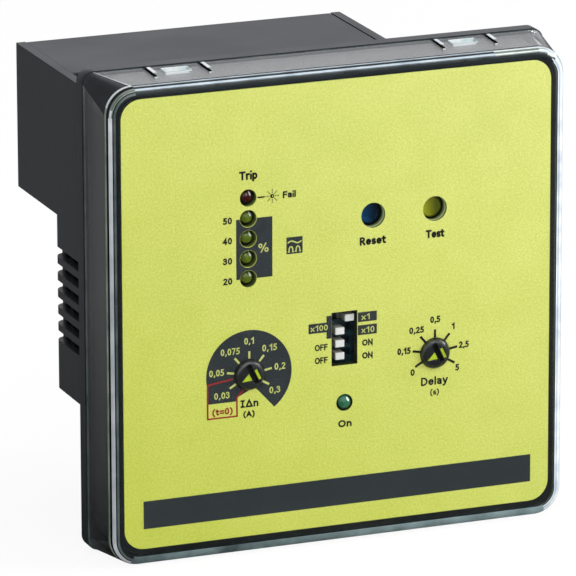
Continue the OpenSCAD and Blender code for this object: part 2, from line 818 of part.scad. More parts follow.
// A stack of E and I plates: two windows beside a middle leg that runs front to back
module transformer_core() color("#6b6d70") difference() {
  block([core_left, core_front, coil_mid_z - stack_h / 2],
        [core_left + core_w, core_front + core_d, coil_mid_z + stack_h / 2]);
  for (side = [-1, 1])
    translate([core_mid_x + side * (leg_w + window_w) / 2, core_mid_y, coil_mid_z])
      cube([window_w, window_d, stack_h + 1], center = true);
}

// A square ring round the middle leg, between two distances from the core's middle
module leg_ring(inner, outer, low_z, high_z, from, to) difference() {
  block([core_mid_x - outer, core_mid_y + from, coil_mid_z - high_z],
        [core_mid_x + outer, core_mid_y + to, coil_mid_z + high_z]);
  block([core_mid_x - inner, core_mid_y + from - 1, coil_mid_z - low_z],
        [core_mid_x + inner, core_mid_y + to + 1, coil_mid_z + low_z]);
}

module transformer_bobbin() color("#d8d4c4") {
  inner = leg_w / 2 + slip;
  inner_z = stack_h / 2 + slip;
  outer = leg_w / 2 + window_w - 0.2;
  end = window_d / 2 - 0.1;
  leg_ring(inner, inner + bobbin_t, inner_z, inner_z + bobbin_t, -end, end);
  for (from = [-end, end - bobbin_t])
    leg_ring(inner, outer, inner_z, coil_h / 2, from, from + bobbin_t);
}

module transformer_winding() color("#b9772f")
  leg_ring(leg_w / 2 + slip + bobbin_t, leg_w / 2 + window_w - 0.5,
           stack_h / 2 + slip + bobbin_t, coil_h / 2 - 0.3,
           bobbin_t + 0.1 - window_d / 2, window_d / 2 - 0.1 - bobbin_t);

module output_relays() color("#23262a")
  for (i = [0, 1]) {
    left = relay_left + i * (relay_w + relay_gap);
    block([left, relay_front, power_top], [left + relay_w, relay_front + relay_d, power_top + relay_h]);
  }

module supply_capacitors() color("#2b3f66")
  for (x = [core_left + cap_d * 0.8, core_left + cap_d * 2.4])
    translate([x, cap_y, power_top]) {
      cylinder(d = cap_d - 0.6, h = cap_h);
      translate([0, 0, 0.6]) cylinder(d = cap_d, h = cap_h - 1.2);
    }

module terminal_board() color(board_green) {
  front = terminal_rear - board_t;
  below_rails = power_z - rail_t - 0.1;
  block([in_left + power_gap, front, in_low + power_gap],
        [in_right - power_gap, terminal_rear, below_rails]);
  block([in_left + rail_w + power_gap, front, below_rails - eps],
        [in_right - rail_w - power_gap, terminal_rear, power_z]);
}

// A terminal block: wire entries from below, screws from the rear
module terminal_block(left) difference() {
  low = block_z - block_h / 2;
  top = low + block_h;
  translate([left, 0, 0]) rotate([90, 0, 90]) linear_extrude(block_w)
    polygon([[terminal_rear, low], [block_rear, low], [block_rear, top - block_chamfer],
             [block_rear - block_chamfer, top], [terminal_rear, top]]);
  for (i = [0 : pole_n - 1]) {
    x = left + (i + 0.5) * pole_pitch;
    block([x - entry_w / 2, entry_y - entry_d / 2, low - 1],
          [x + entry_w / 2, entry_y + entry_d / 2, low + entry_up]);
    rod(x, block_z, terminal_head_d / 2 + 0.15, -block_rear - 1,
        head_sunk + terminal_head_h - block_rear);
    rod(x, block_z, terminal_screw_d / 2 + slip, -block_rear, -entry_y);
  }
}

module terminal_blocks() color("#3d6b4c") for (left = block_lefts) terminal_block(left);

module terminal_screws() color("silver") for (x = pole_xs) difference() {
  union() {
    rod(x, block_z, terminal_head_d / 2, head_sunk - block_rear,
        head_sunk + terminal_head_h - block_rear);
    rod(x, block_z, terminal_screw_d / 2, head_sunk + 1 - block_rear,
        screw_reach - entry_d / 2 - entry_y);
  }
  block([x - terminal_head_d, block_rear - head_sunk - terminal_head_h / 2, block_z - 0.3],
        [x + terminal_head_d, block_rear + 1, block_z + 0.3]);
}

// The plate in each wire entry that a terminal screw presses forward onto the wire
module terminal_clamps() color("#b9b4a0") for (x = pole_xs) {
  rear = entry_y + entry_d / 2 - screw_reach - slip;
  low = block_z - block_h / 2;
  block([x - entry_w / 2 + 0.1, rear - clamp_t, low + 1.5],
        [x + entry_w / 2 - 0.1, rear, low + entry_up - 0.3]);
}

front_frame();
face_plate();
clear_cover();
rear_case();
top_lid();
reset_button();
test_button();
reset_plunger();
test_plunger();
push_switches();
code_switch();
slider_1();
slider_2();
slider_3();
slider_4();
current_knob();
delay_knob();
current_selector();
delay_selector();
trip_lamp();
level_lamps();
supply_lamp();
lamp_spacers();
front_board();
board_screws();
case_screws();
power_board();
board_header();
transformer_core();
transformer_bobbin();
transformer_winding();
output_relays();
supply_capacitors();
terminal_board();
terminal_blocks();
terminal_screws();
terminal_clamps();
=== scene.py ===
"""Looks of the square earth leakage relay: clear clip-on cover, lime face plate with its print,
charcoal housing behind the panel, knobs, buttons, lamps and code switch.

Shapes are worked out in millimetres. X is right, Z is up, and a "stand" is a distance in front of
the panel plane, so a stand of 14.6 lies at Y = -14.6 mm. Meshes are written in metres.
"""

import math
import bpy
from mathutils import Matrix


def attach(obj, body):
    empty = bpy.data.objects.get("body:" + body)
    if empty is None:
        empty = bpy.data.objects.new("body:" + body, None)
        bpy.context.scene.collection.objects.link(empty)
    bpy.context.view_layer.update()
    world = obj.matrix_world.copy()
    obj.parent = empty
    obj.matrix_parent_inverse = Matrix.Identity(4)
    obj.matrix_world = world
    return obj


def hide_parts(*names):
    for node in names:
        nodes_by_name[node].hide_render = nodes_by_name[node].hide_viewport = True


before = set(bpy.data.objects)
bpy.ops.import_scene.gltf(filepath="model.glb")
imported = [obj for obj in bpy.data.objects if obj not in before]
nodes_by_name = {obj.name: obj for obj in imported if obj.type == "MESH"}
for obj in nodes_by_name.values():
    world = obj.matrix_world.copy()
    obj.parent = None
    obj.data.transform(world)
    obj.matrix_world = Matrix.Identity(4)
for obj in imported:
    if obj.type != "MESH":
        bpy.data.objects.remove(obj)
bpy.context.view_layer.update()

import bmesh
import bpy
import numpy as np

MM = 0.001
FACE_STAND = 14.6
CURRENT_DIAL = (-18.6, -12.1)
DELAY_DIAL = (20.2, -12.1)
ARROW_DEG = 206.0
LAMP_X = -18.7
LEVEL_Z = [19.1, 15.1, 11.1, 7.1]


# Camera

def aim_camera():
    """The view of the photograph: from the front, a little left and above."""
    data = bpy.data.cameras.new("camera")
    data.sensor_width = 36.0
    data.lens = 403.2248
    data.clip_start = 0.05
    data.clip_end = 30.0
    camera = bpy.data.objects.new("camera", data)
    camera.location = (-0.448930, -1.126043, 0.348413)
    camera.rotation_euler = [math.radians(a) for a in (73.93332507, 0.13997579, -21.57286537)]
    bpy.context.scene.collection.objects.link(camera)
    bpy.context.scene.camera = camera


# Shader helpers

def linear(*screen):
    """A linear colour from 0 to 255 screen values."""
    return [((v / 255 + 0.055) / 1.055) ** 2.4 if v > 10 else v / 255 / 12.92 for v in screen] + [1.0]


def put(tree, value, socket):
    """Links an output socket to an input, or sets a number, a linear colour (a list) or screen values
    from 0 to 255 (a tuple) on it."""
    if isinstance(value, bpy.types.NodeSocket):
        tree.links.new(value, socket)
    else:
        socket.default_value = linear(*value) if isinstance(value, tuple) else value


def add(tree, kind, settings=(), **values):
    """A node with its properties and its unlinked inputs set."""
    node = tree.nodes.new(kind)
    for key, value in dict(settings).items():
        setattr(node, key, value)
    for key, value in values.items():
        node.inputs[key.replace("_", " ")].default_value = value
    return node


def math_node(tree, operation, *operands):
    """A Math node. An operand is a number or an output socket."""
    node = add(tree, "ShaderNodeMath", {"operation": operation})
    for operand, socket in zip(operands, node.inputs):
        put(tree, operand, socket)
    return node.outputs[0]


def times(tree, a, b):
    return math_node(tree, "MULTIPLY", a, b)


def plus(tree, a, b):
    return math_node(tree, "ADD", a, b)


def shares(tree, a, share_a, b, share_b):
    """Two values, each times its share, added up."""
    return plus(tree, times(tree, a, share_a), times(tree, b, share_b))


def squares(tree, a, b):
    return plus(tree, times(tree, a, a), times(tree, b, b))


def spread(tree, value, low, high, to_low=0.0, to_high=1.0):
    """A value mapped from one range to another, held within the second."""
    node = add(tree, "ShaderNodeMapRange", {"clamp": True},
               From_Min=low, From_Max=high, To_Min=to_low, To_Max=to_high)
    tree.links.new(value, node.inputs["Value"])
    return node.outputs["Result"]


def noise(tree, vector, scale, detail=2.0, roughness=0.5):
    node = add(tree, "ShaderNodeTexNoise", Detail=detail, Roughness=roughness)
    tree.links.new(vector, node.inputs["Vector"])
    put(tree, scale, node.inputs["Scale"])
    return node.outputs["Fac"]


def bands(tree, vector, axis, scale, distortion):
    node = add(tree, "ShaderNodeTexWave", {"bands_direction": axis}, Scale=scale, Distortion=distortion)
    tree.links.new(vector, node.inputs["Vector"])
    return node.outputs["Fac"]


def object_place(tree):
    return add(tree, "ShaderNodeTexCoord").outputs["Object"]


def split(tree, vector):
    """The outputs X, Y and Z of a vector."""
    axes = add(tree, "ShaderNodeSeparateXYZ")
    tree.links.new(vector, axes.inputs[0])
    return axes.outputs


def rise(tree, axis, low_mm, high_mm):
    """0 to 1 between two places along an object axis."""
    return spread(tree, split(tree, object_place(tree))[axis], low_mm * MM, high_mm * MM)


def from_centre(tree, place, x_mm, z_mm):
    """How far a place lies right of and above a centre."""
    axes = split(tree, place)
    return (math_node(tree, "SUBTRACT", axes["X"], x_mm * MM),
            math_node(tree, "SUBTRACT", axes["Z"], z_mm * MM))


def blend_colours(tree, factor, a, b):
    """A Mix Color node between two colours, as put takes them."""
    mix = add(tree, "ShaderNodeMix", {"data_type": "RGBA"})
    for value, number in ((factor, 0), (a, 6), (b, 7)):
        put(tree, value, mix.inputs[number])
    return mix.outputs[2]


def mix_shaders(tree, *factor_and_shaders):
    mix = tree.nodes.new("ShaderNodeMixShader")
    for output, socket in zip(factor_and_shaders, mix.inputs):
        tree.links.new(output, socket)
    return mix.outputs[0]


def group_node(tree, group, **values):
    """The outputs of a shared effect, with this material's own values."""
    return add(tree, "ShaderNodeGroup", {"node_tree": group}, **values).outputs


def start_material(name, **values):
    """A new material with its node tree and its Principled BSDF, whose plain sockets are set."""
    material = bpy.data.materials.new(name)
    material.use_nodes = True
    tree = material.node_tree
    shader = tree.nodes["Principled BSDF"]
    for key, value in values.items():
        shader.inputs[key.replace("_", " ")].default_value = value
    return material, tree, shader


def finish_surface(tree, shader, colour, roughness, height=None, strength=1.0, depth_mm=1.0):
    """Links a shader's colour and roughness, and a bump from a height."""
    tree.links.new(colour, shader.inputs["Base Color"])
    tree.links.new(roughness, shader.inputs["Roughness"])
    if height is not None:
        bump = add(tree, "ShaderNodeBump", Strength=strength, Distance=depth_mm * MM)
        tree.links.new(height, bump.inputs["Height"])
        tree.links.new(bump.outputs["Normal"], shader.inputs["Normal"])


# Shader groups: effects that several materials share

def group_shell(name, inputs, outputs):
    """A node group with named number sockets, and its input and output nodes."""
    group = bpy.data.node_groups.new(name, "ShaderNodeTree")
    for label, value in inputs:
        socket = group.interface.new_socket(label, in_out="INPUT", socket_type="NodeSocketFloat")
        socket.default_value = value
    for label in outputs:
        group.interface.new_socket(label, in_out="OUTPUT", socket_type="NodeSocketFloat")
    return group, group.nodes.new("NodeGroupInput").outputs, group.nodes.new("NodeGroupOutput").inputs


def moulded_grain_group():
    """Spark-eroded mould skin: a pebbled height, a slow drift of tone, and sparse pale dust."""
    group, entry, out = group_shell("moulded_grain", [("Grain Scale", 3200.0), ("Drift Scale", 45.0)],
                                    ["Tone", "Height", "Dust", "Polish"])
    place = object_place(group)
    pebble = add(group, "ShaderNodeTexVoronoi", {"feature": "SMOOTH_F1"}, Smoothness=0.6)
    group.links.new(place, pebble.inputs["Vector"])
    group.links.new(entry["Grain Scale"], pebble.inputs["Scale"])
    fine = noise(group, place, entry["Grain Scale"], 3.0, 0.6)
    drift = noise(group, place, entry["Drift Scale"], 3.0, 0.55)
    speck = noise(group, place, 1900.0, 1.0)
    patch = noise(group, place, 70.0)
    group.links.new(shares(group, spread(group, drift, 0.3, 0.7), 0.62, spread(group, fine, 0.3, 0.7), 0.38),
                    out["Tone"])
    group.links.new(plus(group, times(group, pebble.outputs["Distance"], 0.8), fine), out["Height"])
    dust = times(group, spread(group, speck, 0.7, 0.78), spread(group, patch, 0.45, 0.7))
    group.links.new(dust, out["Dust"])
    group.links.new(spread(group, drift, 0.25, 0.75, -1.0, 1.0), out["Polish"])
    return group


def printed_film_group():
    """Screen-printed face: a fine even mottle of the ink, and a slow Drift towards one corner. The Drift is
    painted light that makes the face lighter towards its upper right.
    """
    group, entry, out = group_shell("printed_film", [("Mottle Scale", 2400.0)], ["Mottle", "Drift", "Height"])
    place = object_place(group)
    fine = noise(group, place, entry["Mottle Scale"], 2.0, 0.7)
    broad = noise(group, place, 160.0)
    axes = split(group, place)
    # Painted light: rises towards the upper right
    painted_light_slope = plus(group, shares(group, axes["X"], 7.0, axes["Z"], 9.0), times(group, broad, 0.12))
    group.links.new(shares(group, spread(group, fine, 0.33, 0.67), 0.85,
                           spread(group, broad, 0.3, 0.7), 0.15), out["Mottle"])
    group.links.new(spread(group, painted_light_slope, -0.6, 0.75), out["Drift"])
    group.links.new(fine, out["Height"])
    return group


def rolled_metal_group():
    """Plated or rolled metal: fine drawn lines along X and a cloudy tarnish."""
    group, entry, out = group_shell("rolled_metal", [("Line Scale", 2600.0)], ["Lines", "Tarnish"])
    place = object_place(group)
    stretch = add(group, "ShaderNodeMapping", Scale=(0.06, 1.0, 1.0))
    group.links.new(place, stretch.inputs["Vector"])
    group.links.new(noise(group, stretch.outputs[0], entry["Line Scale"]), out["Lines"])
    group.links.new(spread(group, noise(group, place, 320.0, 3.0), 0.3, 0.7), out["Tarnish"])
    return group


GRAIN = moulded_grain_group()
FILM = printed_film_group()
METAL = rolled_metal_group()


# Materials

def moulded_plastic(name, dark, light, rough, grain_mm=0.012, dust=0.25, painted_light_slope=None, **values):
    """Injection-moulded plastic: tone between two colours, pebbled skin, a little dust. A slope (axis, from
    mm, to mm) paints light and shade: the tone rises along that axis as well."""
    material, tree, shader = start_material(name, **values)
    grain = group_node(tree, GRAIN)
    tone = grain["Tone"]
    # Painted light and shade along the slope
    if painted_light_slope:
        tone = shares(tree, tone, 0.25, rise(tree, *painted_light_slope), 0.75)
    tone = blend_colours(tree, tone, dark, light)
    pale = [min(1.0, c * 1.6 + 0.05) for c in linear(*light)[:3]] + [1.0]
    finish_surface(tree, shader, blend_colours(tree, times(tree, grain["Dust"], dust), tone, pale),
                   plus(tree, times(tree, grain["Polish"], 0.06), rough), grain["Height"], 0.6, grain_mm)
    return material


def metal_finish(name, dark, light, rough):
    """Bare or plated metal with drawn lines and tarnish."""
    material, tree, shader = start_material(name, Metallic=1.0)
    metal = group_node(tree, METAL)
    finish_surface(tree, shader, blend_colours(tree, metal["Tarnish"], dark, light),
                   spread(tree, metal["Lines"], 0.3, 0.7, rough - 0.06, rough + 0.1),
                   metal["Lines"], 0.4, 0.006)
    return material


def lime_face():
    """The lime plate. Its front is printed and mottled, with painted light that makes it lighter towards its
    upper right. The cut walls of its holes are painted shade: olive, and darker still round the code switch
    and what lies right of it and below. Round the two buttons they are paler, which is painted light, and a
    white painted highlight streak runs halfway down behind a dark band at the front edge."""
    material, tree, shader = start_material("lime_face_plate", IOR=1.45)
    film = group_node(tree, FILM)
    mottle = film["Mottle"]
    # Painted light: the face is lighter towards its upper right, where the film's Drift rises
    low = blend_colours(tree, mottle, (194, 203, 66), (215, 221, 97))
    high = blend_colours(tree, mottle, (218, 223, 108), (240, 243, 145))
    face = blend_colours(tree, film["Drift"], low, high)
    # Painted shade on the hole walls, darker by the code switch; by the buttons a paler painted light with a
    # white painted highlight streak
    by_button = times(tree, rise(tree, "X", 3.0, 4.0), rise(tree, "Z", 12.0, 13.0))
    by_switch = times(tree, rise(tree, "X", -3.0, -2.0), rise(tree, "Z", 0.5, -0.5))
    streak = times(tree, rise(tree, "Y", -13.86, -13.76), rise(tree, "Y", -13.46, -13.56))
    pale = blend_colours(tree, streak, (146, 164, 84), (250, 252, 246))
    pale = blend_colours(tree, rise(tree, "Y", -14.15, -14.3), pale, (20, 24, 12))
    wall = blend_colours(tree, by_switch, (104, 118, 52), (40, 46, 22))
    wall = blend_colours(tree, by_button, wall, pale)
    inside = rise(tree, "Y", 0.05 - FACE_STAND, 0.15 - FACE_STAND)
    finish_surface(tree, shader, blend_colours(tree, inside, face, wall),
                   spread(tree, mottle, 0.0, 1.0, 0.42, 0.55), film["Height"], 0.35, 0.004)
    return material


def ink(name, dark, light, rough=0.45):
    """Printed ink: the film's mottle between two close tones."""
    material, tree, shader = start_material(name, IOR=1.45)
    film = group_node(tree, FILM)
    finish_surface(tree, shader, blend_colours(tree, film["Mottle"], dark, light),
                   spread(tree, film["Mottle"], 0.0, 1.0, rough - 0.05, rough + 0.06),
                   film["Height"], 0.3, 0.003)
    return material


def polycarbonate(name, weight, dark, light, rough, streak=38.0, painted_light_slope=None, **values):
    """Clear moulded sheet, or with a smaller transmission weight the painted reflections, highlights and dark
    bands of its edges and cut faces. Rays from lamps and diffuse rays pass, so what lies behind is lit as in
    the open. A slope paints a rise of tone as in moulded_plastic."""
    material, tree, shader = start_material(name, IOR=1.5, Transmission_Weight=weight, **values)
    place = object_place(tree)
    flow = noise(tree, place, streak)
    rub = noise(tree, place, 900.0, 3.0, 0.6)
    tone = spread(tree, flow, 0.3, 0.7)
    if painted_light_slope:
        tone = shares(tree, tone, 0.4, rise(tree, *painted_light_slope), 0.6)
    finish_surface(tree, shader, blend_colours(tree, tone, dark, light),
                   spread(tree, rub, 0.45, 0.8, rough, rough + 0.035), flow, 0.12, 0.05)
    clear = add(tree, "ShaderNodeBsdfTransparent", Color=(0.93, 0.94, 0.94, 1))
    path = tree.nodes.new("ShaderNodeLightPath").outputs
    passing = math_node(tree, "MAXIMUM", path["Is Shadow Ray"], path["Is Diffuse Ray"])
    tree.links.new(mix_shaders(tree, passing, shader.outputs[0], clear.outputs[0]),
                   tree.nodes["Material Output"].inputs["Surface"])
    return material


def lamp_epoxy(name, deep, lit, x_mm, z_mm, pitch=0.0):
    """Tinted lamp body with painted light and shade. The dome is painted lit within a disc above its middle
    and painted near black round it, where shade falls in its hole. It has a slanting white painted highlight
    at its upper right. A pitch in mm repeats the place downwards for a column of lamps."""
    material, tree, shader = start_material(name, IOR=1.52)
    place = object_place(tree)
    across, up = from_centre(tree, place, x_mm - 0.05, z_mm + 0.3)
    if pitch:
        up = math_node(tree, "WRAP", up, 0.5 * pitch * MM, -0.5 * pitch * MM)
    reach = math_node(tree, "SQRT", squares(tree, across, up))
    # Painted light and shade: the dome is painted lit within a disc above its middle and near black outside
    # it
    bright = spread(tree, reach, 1.2 * MM, 1.32 * MM, 1.0, 0.0)
    swirl = spread(tree, noise(tree, place, 700.0, 3.0), 0.3, 0.7, 0.8, 1.0)
    body = blend_colours(tree, times(tree, bright, swirl), deep, lit)
    # Painted highlight: a slanting white oval at the dome's upper right
    painted_glint_x, painted_glint_z, slant, half_wide, half_tall = 0.55 * MM, 0.43 * MM, 0.35, 0.2 * MM, 0.44 * MM
    tilt = math_node(tree, "SUBTRACT", up, painted_glint_z)
    lean = math_node(tree, "SUBTRACT", plus(tree, across, times(tree, tilt, slant)), painted_glint_x)
    oval = squares(tree, math_node(tree, "DIVIDE", lean, half_wide),
                   math_node(tree, "DIVIDE", tilt, half_tall))
    painted_glint = spread(tree, oval, 0.6, 1.2, 1.0, 0.0)
    finish_surface(tree, shader, blend_colours(tree, painted_glint, body, (250, 252, 250)),
                   spread(tree, noise(tree, place, 1500.0), 0.3, 0.7, 0.03, 0.06))
    return material


def knob_plastic(name, centre):
    """Black dial plastic with painted shade in its slot: near black deeper than about 0.15 mm behind its
    front and within 2.3 mm of the dial's centre. Its front is flat in the middle and domes down towards the
    rim: the height falls with the square of the distance beyond 1.9 mm from the dial's centre (x, z in mm)."""
    material, tree, shader = start_material(name, Specular_IOR_Level=0.9)
    reach = math_node(tree, "SQRT", squares(tree, *from_centre(tree, object_place(tree), *centre)))
    beyond = spread(tree, reach, 1.9 * MM, 3.1 * MM)
    grain = group_node(tree, GRAIN)
    height = shares(tree, times(tree, beyond, beyond), -1.0, grain["Height"], 0.01)
    face = blend_colours(tree, grain["Tone"], (25, 27, 29), (38, 41, 45))
    # Painted shade: near black inside the slot
    painted_slot_shade = times(tree, spread(tree, reach, 2.5 * MM, 2.3 * MM), rise(tree, "Y", -15.2, -15.1))
    finish_surface(tree, shader, blend_colours(tree, painted_slot_shade, face, (2, 2, 2)),
                   plus(tree, times(tree, grain["Polish"], 0.05), 0.3), height, 1.0, 0.55)
    return material


def fibre_board():
    """Glass-fibre board: a woven weave under green lacquer."""
    material, tree, shader = start_material("fibre_board", IOR=1.5)
    place = object_place(tree)
    cloth = times(tree, bands(tree, place, "X", 900.0, 1.5), bands(tree, place, "Z", 900.0, 1.5))
    cloud = spread(tree, noise(tree, place, 120.0), 0.3, 0.7)
    finish_surface(tree, shader,
                   blend_colours(tree, shares(tree, cloth, 0.5, cloud, 0.5), (18, 54, 34), (36, 84, 54)),
                   spread(tree, cloth, 0.0, 1.0, 0.3, 0.45), cloth, 0.4, 0.02)
    return material


def enamelled_wire():
    """Copper winding: fine turns across the coil, each a round ridge."""
    material, tree, shader = start_material("enamelled_wire", Metallic=0.85, IOR=1.5)
    turns = bands(tree, object_place(tree), "Y", 650.0, 0.4)
    finish_surface(tree, shader, blend_colours(tree, turns, (98, 48, 22), (196, 120, 62)),
                   spread(tree, turns, 0.0, 1.0, 0.45, 0.25), turns, 0.8, 0.08)
    return material


def core_plates():
    """Stacked transformer plates: thin dark lines across Z, grey steel between."""
    material, tree, shader = start_material("core_plates", Metallic=0.7)
    place = object_place(tree)
    plates = bands(tree, place, "Z", 320.0, 0.1)
    cloud = spread(tree, noise(tree, place, 220.0, 3.0), 0.3, 0.7, 0.4, 1.0)
    finish_surface(tree, shader,
                   blend_colours(tree, times(tree, plates, cloud), (52, 50, 50), (132, 134, 138)),
                   spread(tree, cloud, 0.4, 1.0, 0.55, 0.35), plates, 0.6, 0.05)
    return material


charcoal = moulded_plastic("charcoal_housing", (38, 41, 44), (51, 54, 58), 0.42)
frame_charcoal = moulded_plastic("charcoal_frame", (30, 34, 37), (38, 43, 46), 0.36, 0.008)
rim_charcoal = moulded_plastic("charcoal_rim", (16, 19, 21), (24, 28, 30), 0.4, 0.006)
# Painted highlight: the frame's catch faces pale where they show through the cover's windows
catch_painted_highlight = moulded_plastic("catch_painted_highlight", (196, 198, 200), (232, 234, 236), 0.4, dust=0.0)
switch_black = moulded_plastic("switch_black", (22, 30, 33), (32, 42, 46), 0.38, dust=0.1)
black_plastic = moulded_plastic("black_plastic", (12, 13, 14), (20, 21, 23), 0.3, dust=0.1)
# Painted light and shade: sliders darker behind their white fronts; caps lighter at the left and darker at
# the right in their holes
slider_white = moulded_plastic("slider_white", (166, 160, 148), (246, 246, 244), 0.35, 0.006, 0.0,
                               ("Y", -13.42, -13.58))
button_blue = moulded_plastic("button_blue", (0, 16, 22), (4, 92, 158), 0.28, 0.004, 0.0, ("X", 8.0, 4.6),
                              Specular_IOR_Level=0.2)
button_olive = moulded_plastic("button_olive", (60, 70, 16), (208, 212, 40), 0.3, 0.004, 0.0,
                               ("X", 21.0, 17.6), Specular_IOR_Level=0.2)
sleeve_blue = moulded_plastic("sleeve_blue", (30, 46, 92), (42, 62, 112), 0.35)
selector_blue = moulded_plastic("selector_blue", (40, 56, 84), (56, 74, 104), 0.4)
bobbin_cream = moulded_plastic("bobbin_cream", (206, 200, 182), (224, 218, 200), 0.45)
# Painted shade: the terminal blocks near black, so the vents between the fins show black
block_painted_black = moulded_plastic("block_painted_black", (12, 13, 14), (20, 21, 23), 0.42)
switch_teal = moulded_plastic("switch_teal", (14, 44, 52), (26, 64, 74), 0.35, dust=0.0)
zinc = metal_finish("zinc_plate", (150, 152, 154), (196, 198, 200), 0.3)
dark_ink = ink("dark_ink", (36, 42, 46), (46, 52, 57))
lettering_ink = ink("lettering_ink", (7, 9, 10), (14, 17, 19))
lime_ink = ink("lime_ink", (200, 206, 108), (212, 218, 122))
red_ink = ink("red_ink", (142, 26, 22), (164, 38, 30))
arrow_lime = ink("arrow_lime", (164, 190, 20), (196, 220, 42), 0.35)
board = fibre_board()
clear_sheet = polycarbonate("clear_polycarbonate", 1.0, [0.955, 0.97, 0.975, 1],
                            [0.985, 0.99, 0.99, 1], 0.015)

# Painted reflections, highlights and dark bands for the cover's edges and cut faces, by the letter that
# places it: name, specular level, then the values of polycarbonate in their order
COVER_LOOKS = {"c": clear_sheet}
for letter, look, shine, *values in (
        ("w", "edge_white", 0.5, 0.1, (196, 208, 220), (246, 250, 252), 0.2, 260.0),
        ("b", "edge_blue", 0.5, 0.1, (160, 176, 190), (196, 210, 222), 0.2, 260.0),
        ("g", "edge_green", 0.5, 0.1, (102, 116, 104), (150, 162, 148), 0.25, 260.0),
        ("s", "edge_silver", 0.5, 0.1, (164, 170, 178), (232, 238, 242), 0.2, 260.0, ("Z", 8, 44)),
        ("m", "edge_mid", 0.5, 0.1, (66, 76, 78), (100, 110, 110), 0.25, 260.0),
        ("t", "edge_teal", 0.5, 0.1, (34, 44, 46), (150, 172, 178), 0.2, 210.0, ("X", -52, 60)),
        ("d", "edge_dim", 0.2, 0.3, (26, 31, 33), (38, 44, 47), 0.2, 120.0),
        ("n", "edge_night", 0.25, 0.2, (30, 36, 38), (50, 58, 60), 0.2, 260.0),
        ("k", "edge_black", 0.15, 0.2, (5, 6, 6), (13, 15, 15), 0.15, 260.0),
        ("x", "cut_white", 0.5, 0.1, (206, 226, 230), (250, 252, 252), 0.3, 500.0)):
    COVER_LOOKS[letter] = polycarbonate("cover_" + look, *values, Specular_IOR_Level=shine)

CAD_FINISHES = (
    (frame_charcoal, "front_frame"), (lime_face(), "face_plate"), (charcoal, "rear_case top_lid"),
    (button_blue, "reset_button"), (button_olive, "test_button"),
    (black_plastic, "reset_plunger test_plunger lamp_spacers board_header"),
    (switch_black, "push_switches output_relays"), (switch_teal, "code_switch"),
    (slider_white, "slider_1 slider_2 slider_3 slider_4"),
    (knob_plastic("current_knob_black", CURRENT_DIAL), "current_knob"),
    (knob_plastic("delay_knob_black", DELAY_DIAL), "delay_knob"),
    (selector_blue, "current_selector delay_selector"),
    (lamp_epoxy("dark_red_lamp", (3, 1, 1), (66, 8, 12), LAMP_X, 23.2), "trip_lamp"),
    (lamp_epoxy("olive_lamp", (1, 2, 1), (98, 116, 26), LAMP_X, LEVEL_Z[0], 4.0), "level_lamps"),
    (lamp_epoxy("deep_green_lamp", (14, 52, 38), (48, 112, 84), 1.2, -20.0), "supply_lamp"),
    (board, "front_board power_board terminal_board"),
    (zinc, "board_screws case_screws terminal_screws terminal_clamps"),
    (core_plates(), "transformer_core"), (bobbin_cream, "transformer_bobbin"),
    (enamelled_wire(), "transformer_winding"), (sleeve_blue, "supply_capacitors"),
    (block_painted_black, "terminal_blocks"),
)
# Edge radius in mm where the real moulding has one that shows
EDGE_MM = (
    (0.05, "current_knob delay_knob"), (0.08, "face_plate"),
    (0.12, "slider_1 slider_2 slider_3 slider_4"), (0.15, "transformer_core"),
    (0.2, "front_frame top_lid terminal_blocks"), (0.25, "rear_case"), (0.3, "output_relays"),
)


def bevel(piece, width_mm, limit_deg=30):
    """Rounds the edges that turn by more than a limit."""
    edge = piece.modifiers.new("edge", "BEVEL")
    edge.width = width_mm * MM
    edge.segments = 2
    edge.limit_method = "ANGLE"
    edge.angle_limit = math.radians(limit_deg)


def dress_cad_nodes():
    """Each CAD node gets its finish, and a small moulded edge where one shows."""
    for material, names in CAD_FINISHES:
        for name in names.split():
            nodes_by_name[name].data.materials.clear()
            nodes_by_name[name].data.materials.append(material)
    for width_mm, names in EDGE_MM:
        for name in names.split():
            weld = nodes_by_name[name].modifiers.new("weld", "WELD")
            weld.merge_threshold = 1e-6
            bevel(nodes_by_name[name], width_mm, 40)
    # Painted highlight on the frame's catch faces, and a darker charcoal on its front rim
    frame_mesh = nodes_by_name["front_frame"].data
    frame_mesh.materials.append(catch_painted_highlight)
    frame_mesh.materials.append(rim_charcoal)
    centres = np.array([polygon.center for polygon in frame_mesh.polygons]) / MM
    across, stand, up = np.abs(centres[:, 0]), -centres[:, 1], np.abs(centres[:, 2])
    box_half, catch_low, catch_high, rim_half = 46.03, 27, 32.6, 44
    painted_catch_faces = (up > box_half) & (across > catch_low) & (across < catch_high) & (stand > 4)
    on_rim = (stand > FACE_STAND - 0.05) & (np.maximum(across, up) > rim_half)
    frame_mesh.polygons.foreach_set("material_index", painted_catch_faces + 2 * on_rim)


def edit_mesh(piece, change):
    """Runs a change on the piece's mesh in bmesh form."""
    form = bmesh.new()
    form.from_mesh(piece.data)
    change(form)
    form.to_mesh(piece.data)
    form.free()


# New pieces

def new_piece(name, points_mm, faces, material, body, slot):
    """A mesh piece from points in millimetres, attached to its body. Its slot is not used."""
    mesh = bpy.data.meshes.new(name)
    mesh.from_pydata((np.asarray(points_mm, float) * MM).tolist(), [], [list(map(int, f)) for f in faces])
    mesh.materials.append(material)
    piece = bpy.data.objects.new(name, mesh)
    bpy.context.scene.collection.objects.link(piece)
    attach(piece, body)
    return piece


def turn_outwards(form):
    """Takes out unused points and turns every face outwards."""
    bmesh.ops.delete(form, geom=[v for v in form.verts if not v.link_faces], context="VERTS")
    bmesh.ops.recalc_face_normals(form, faces=form.faces)


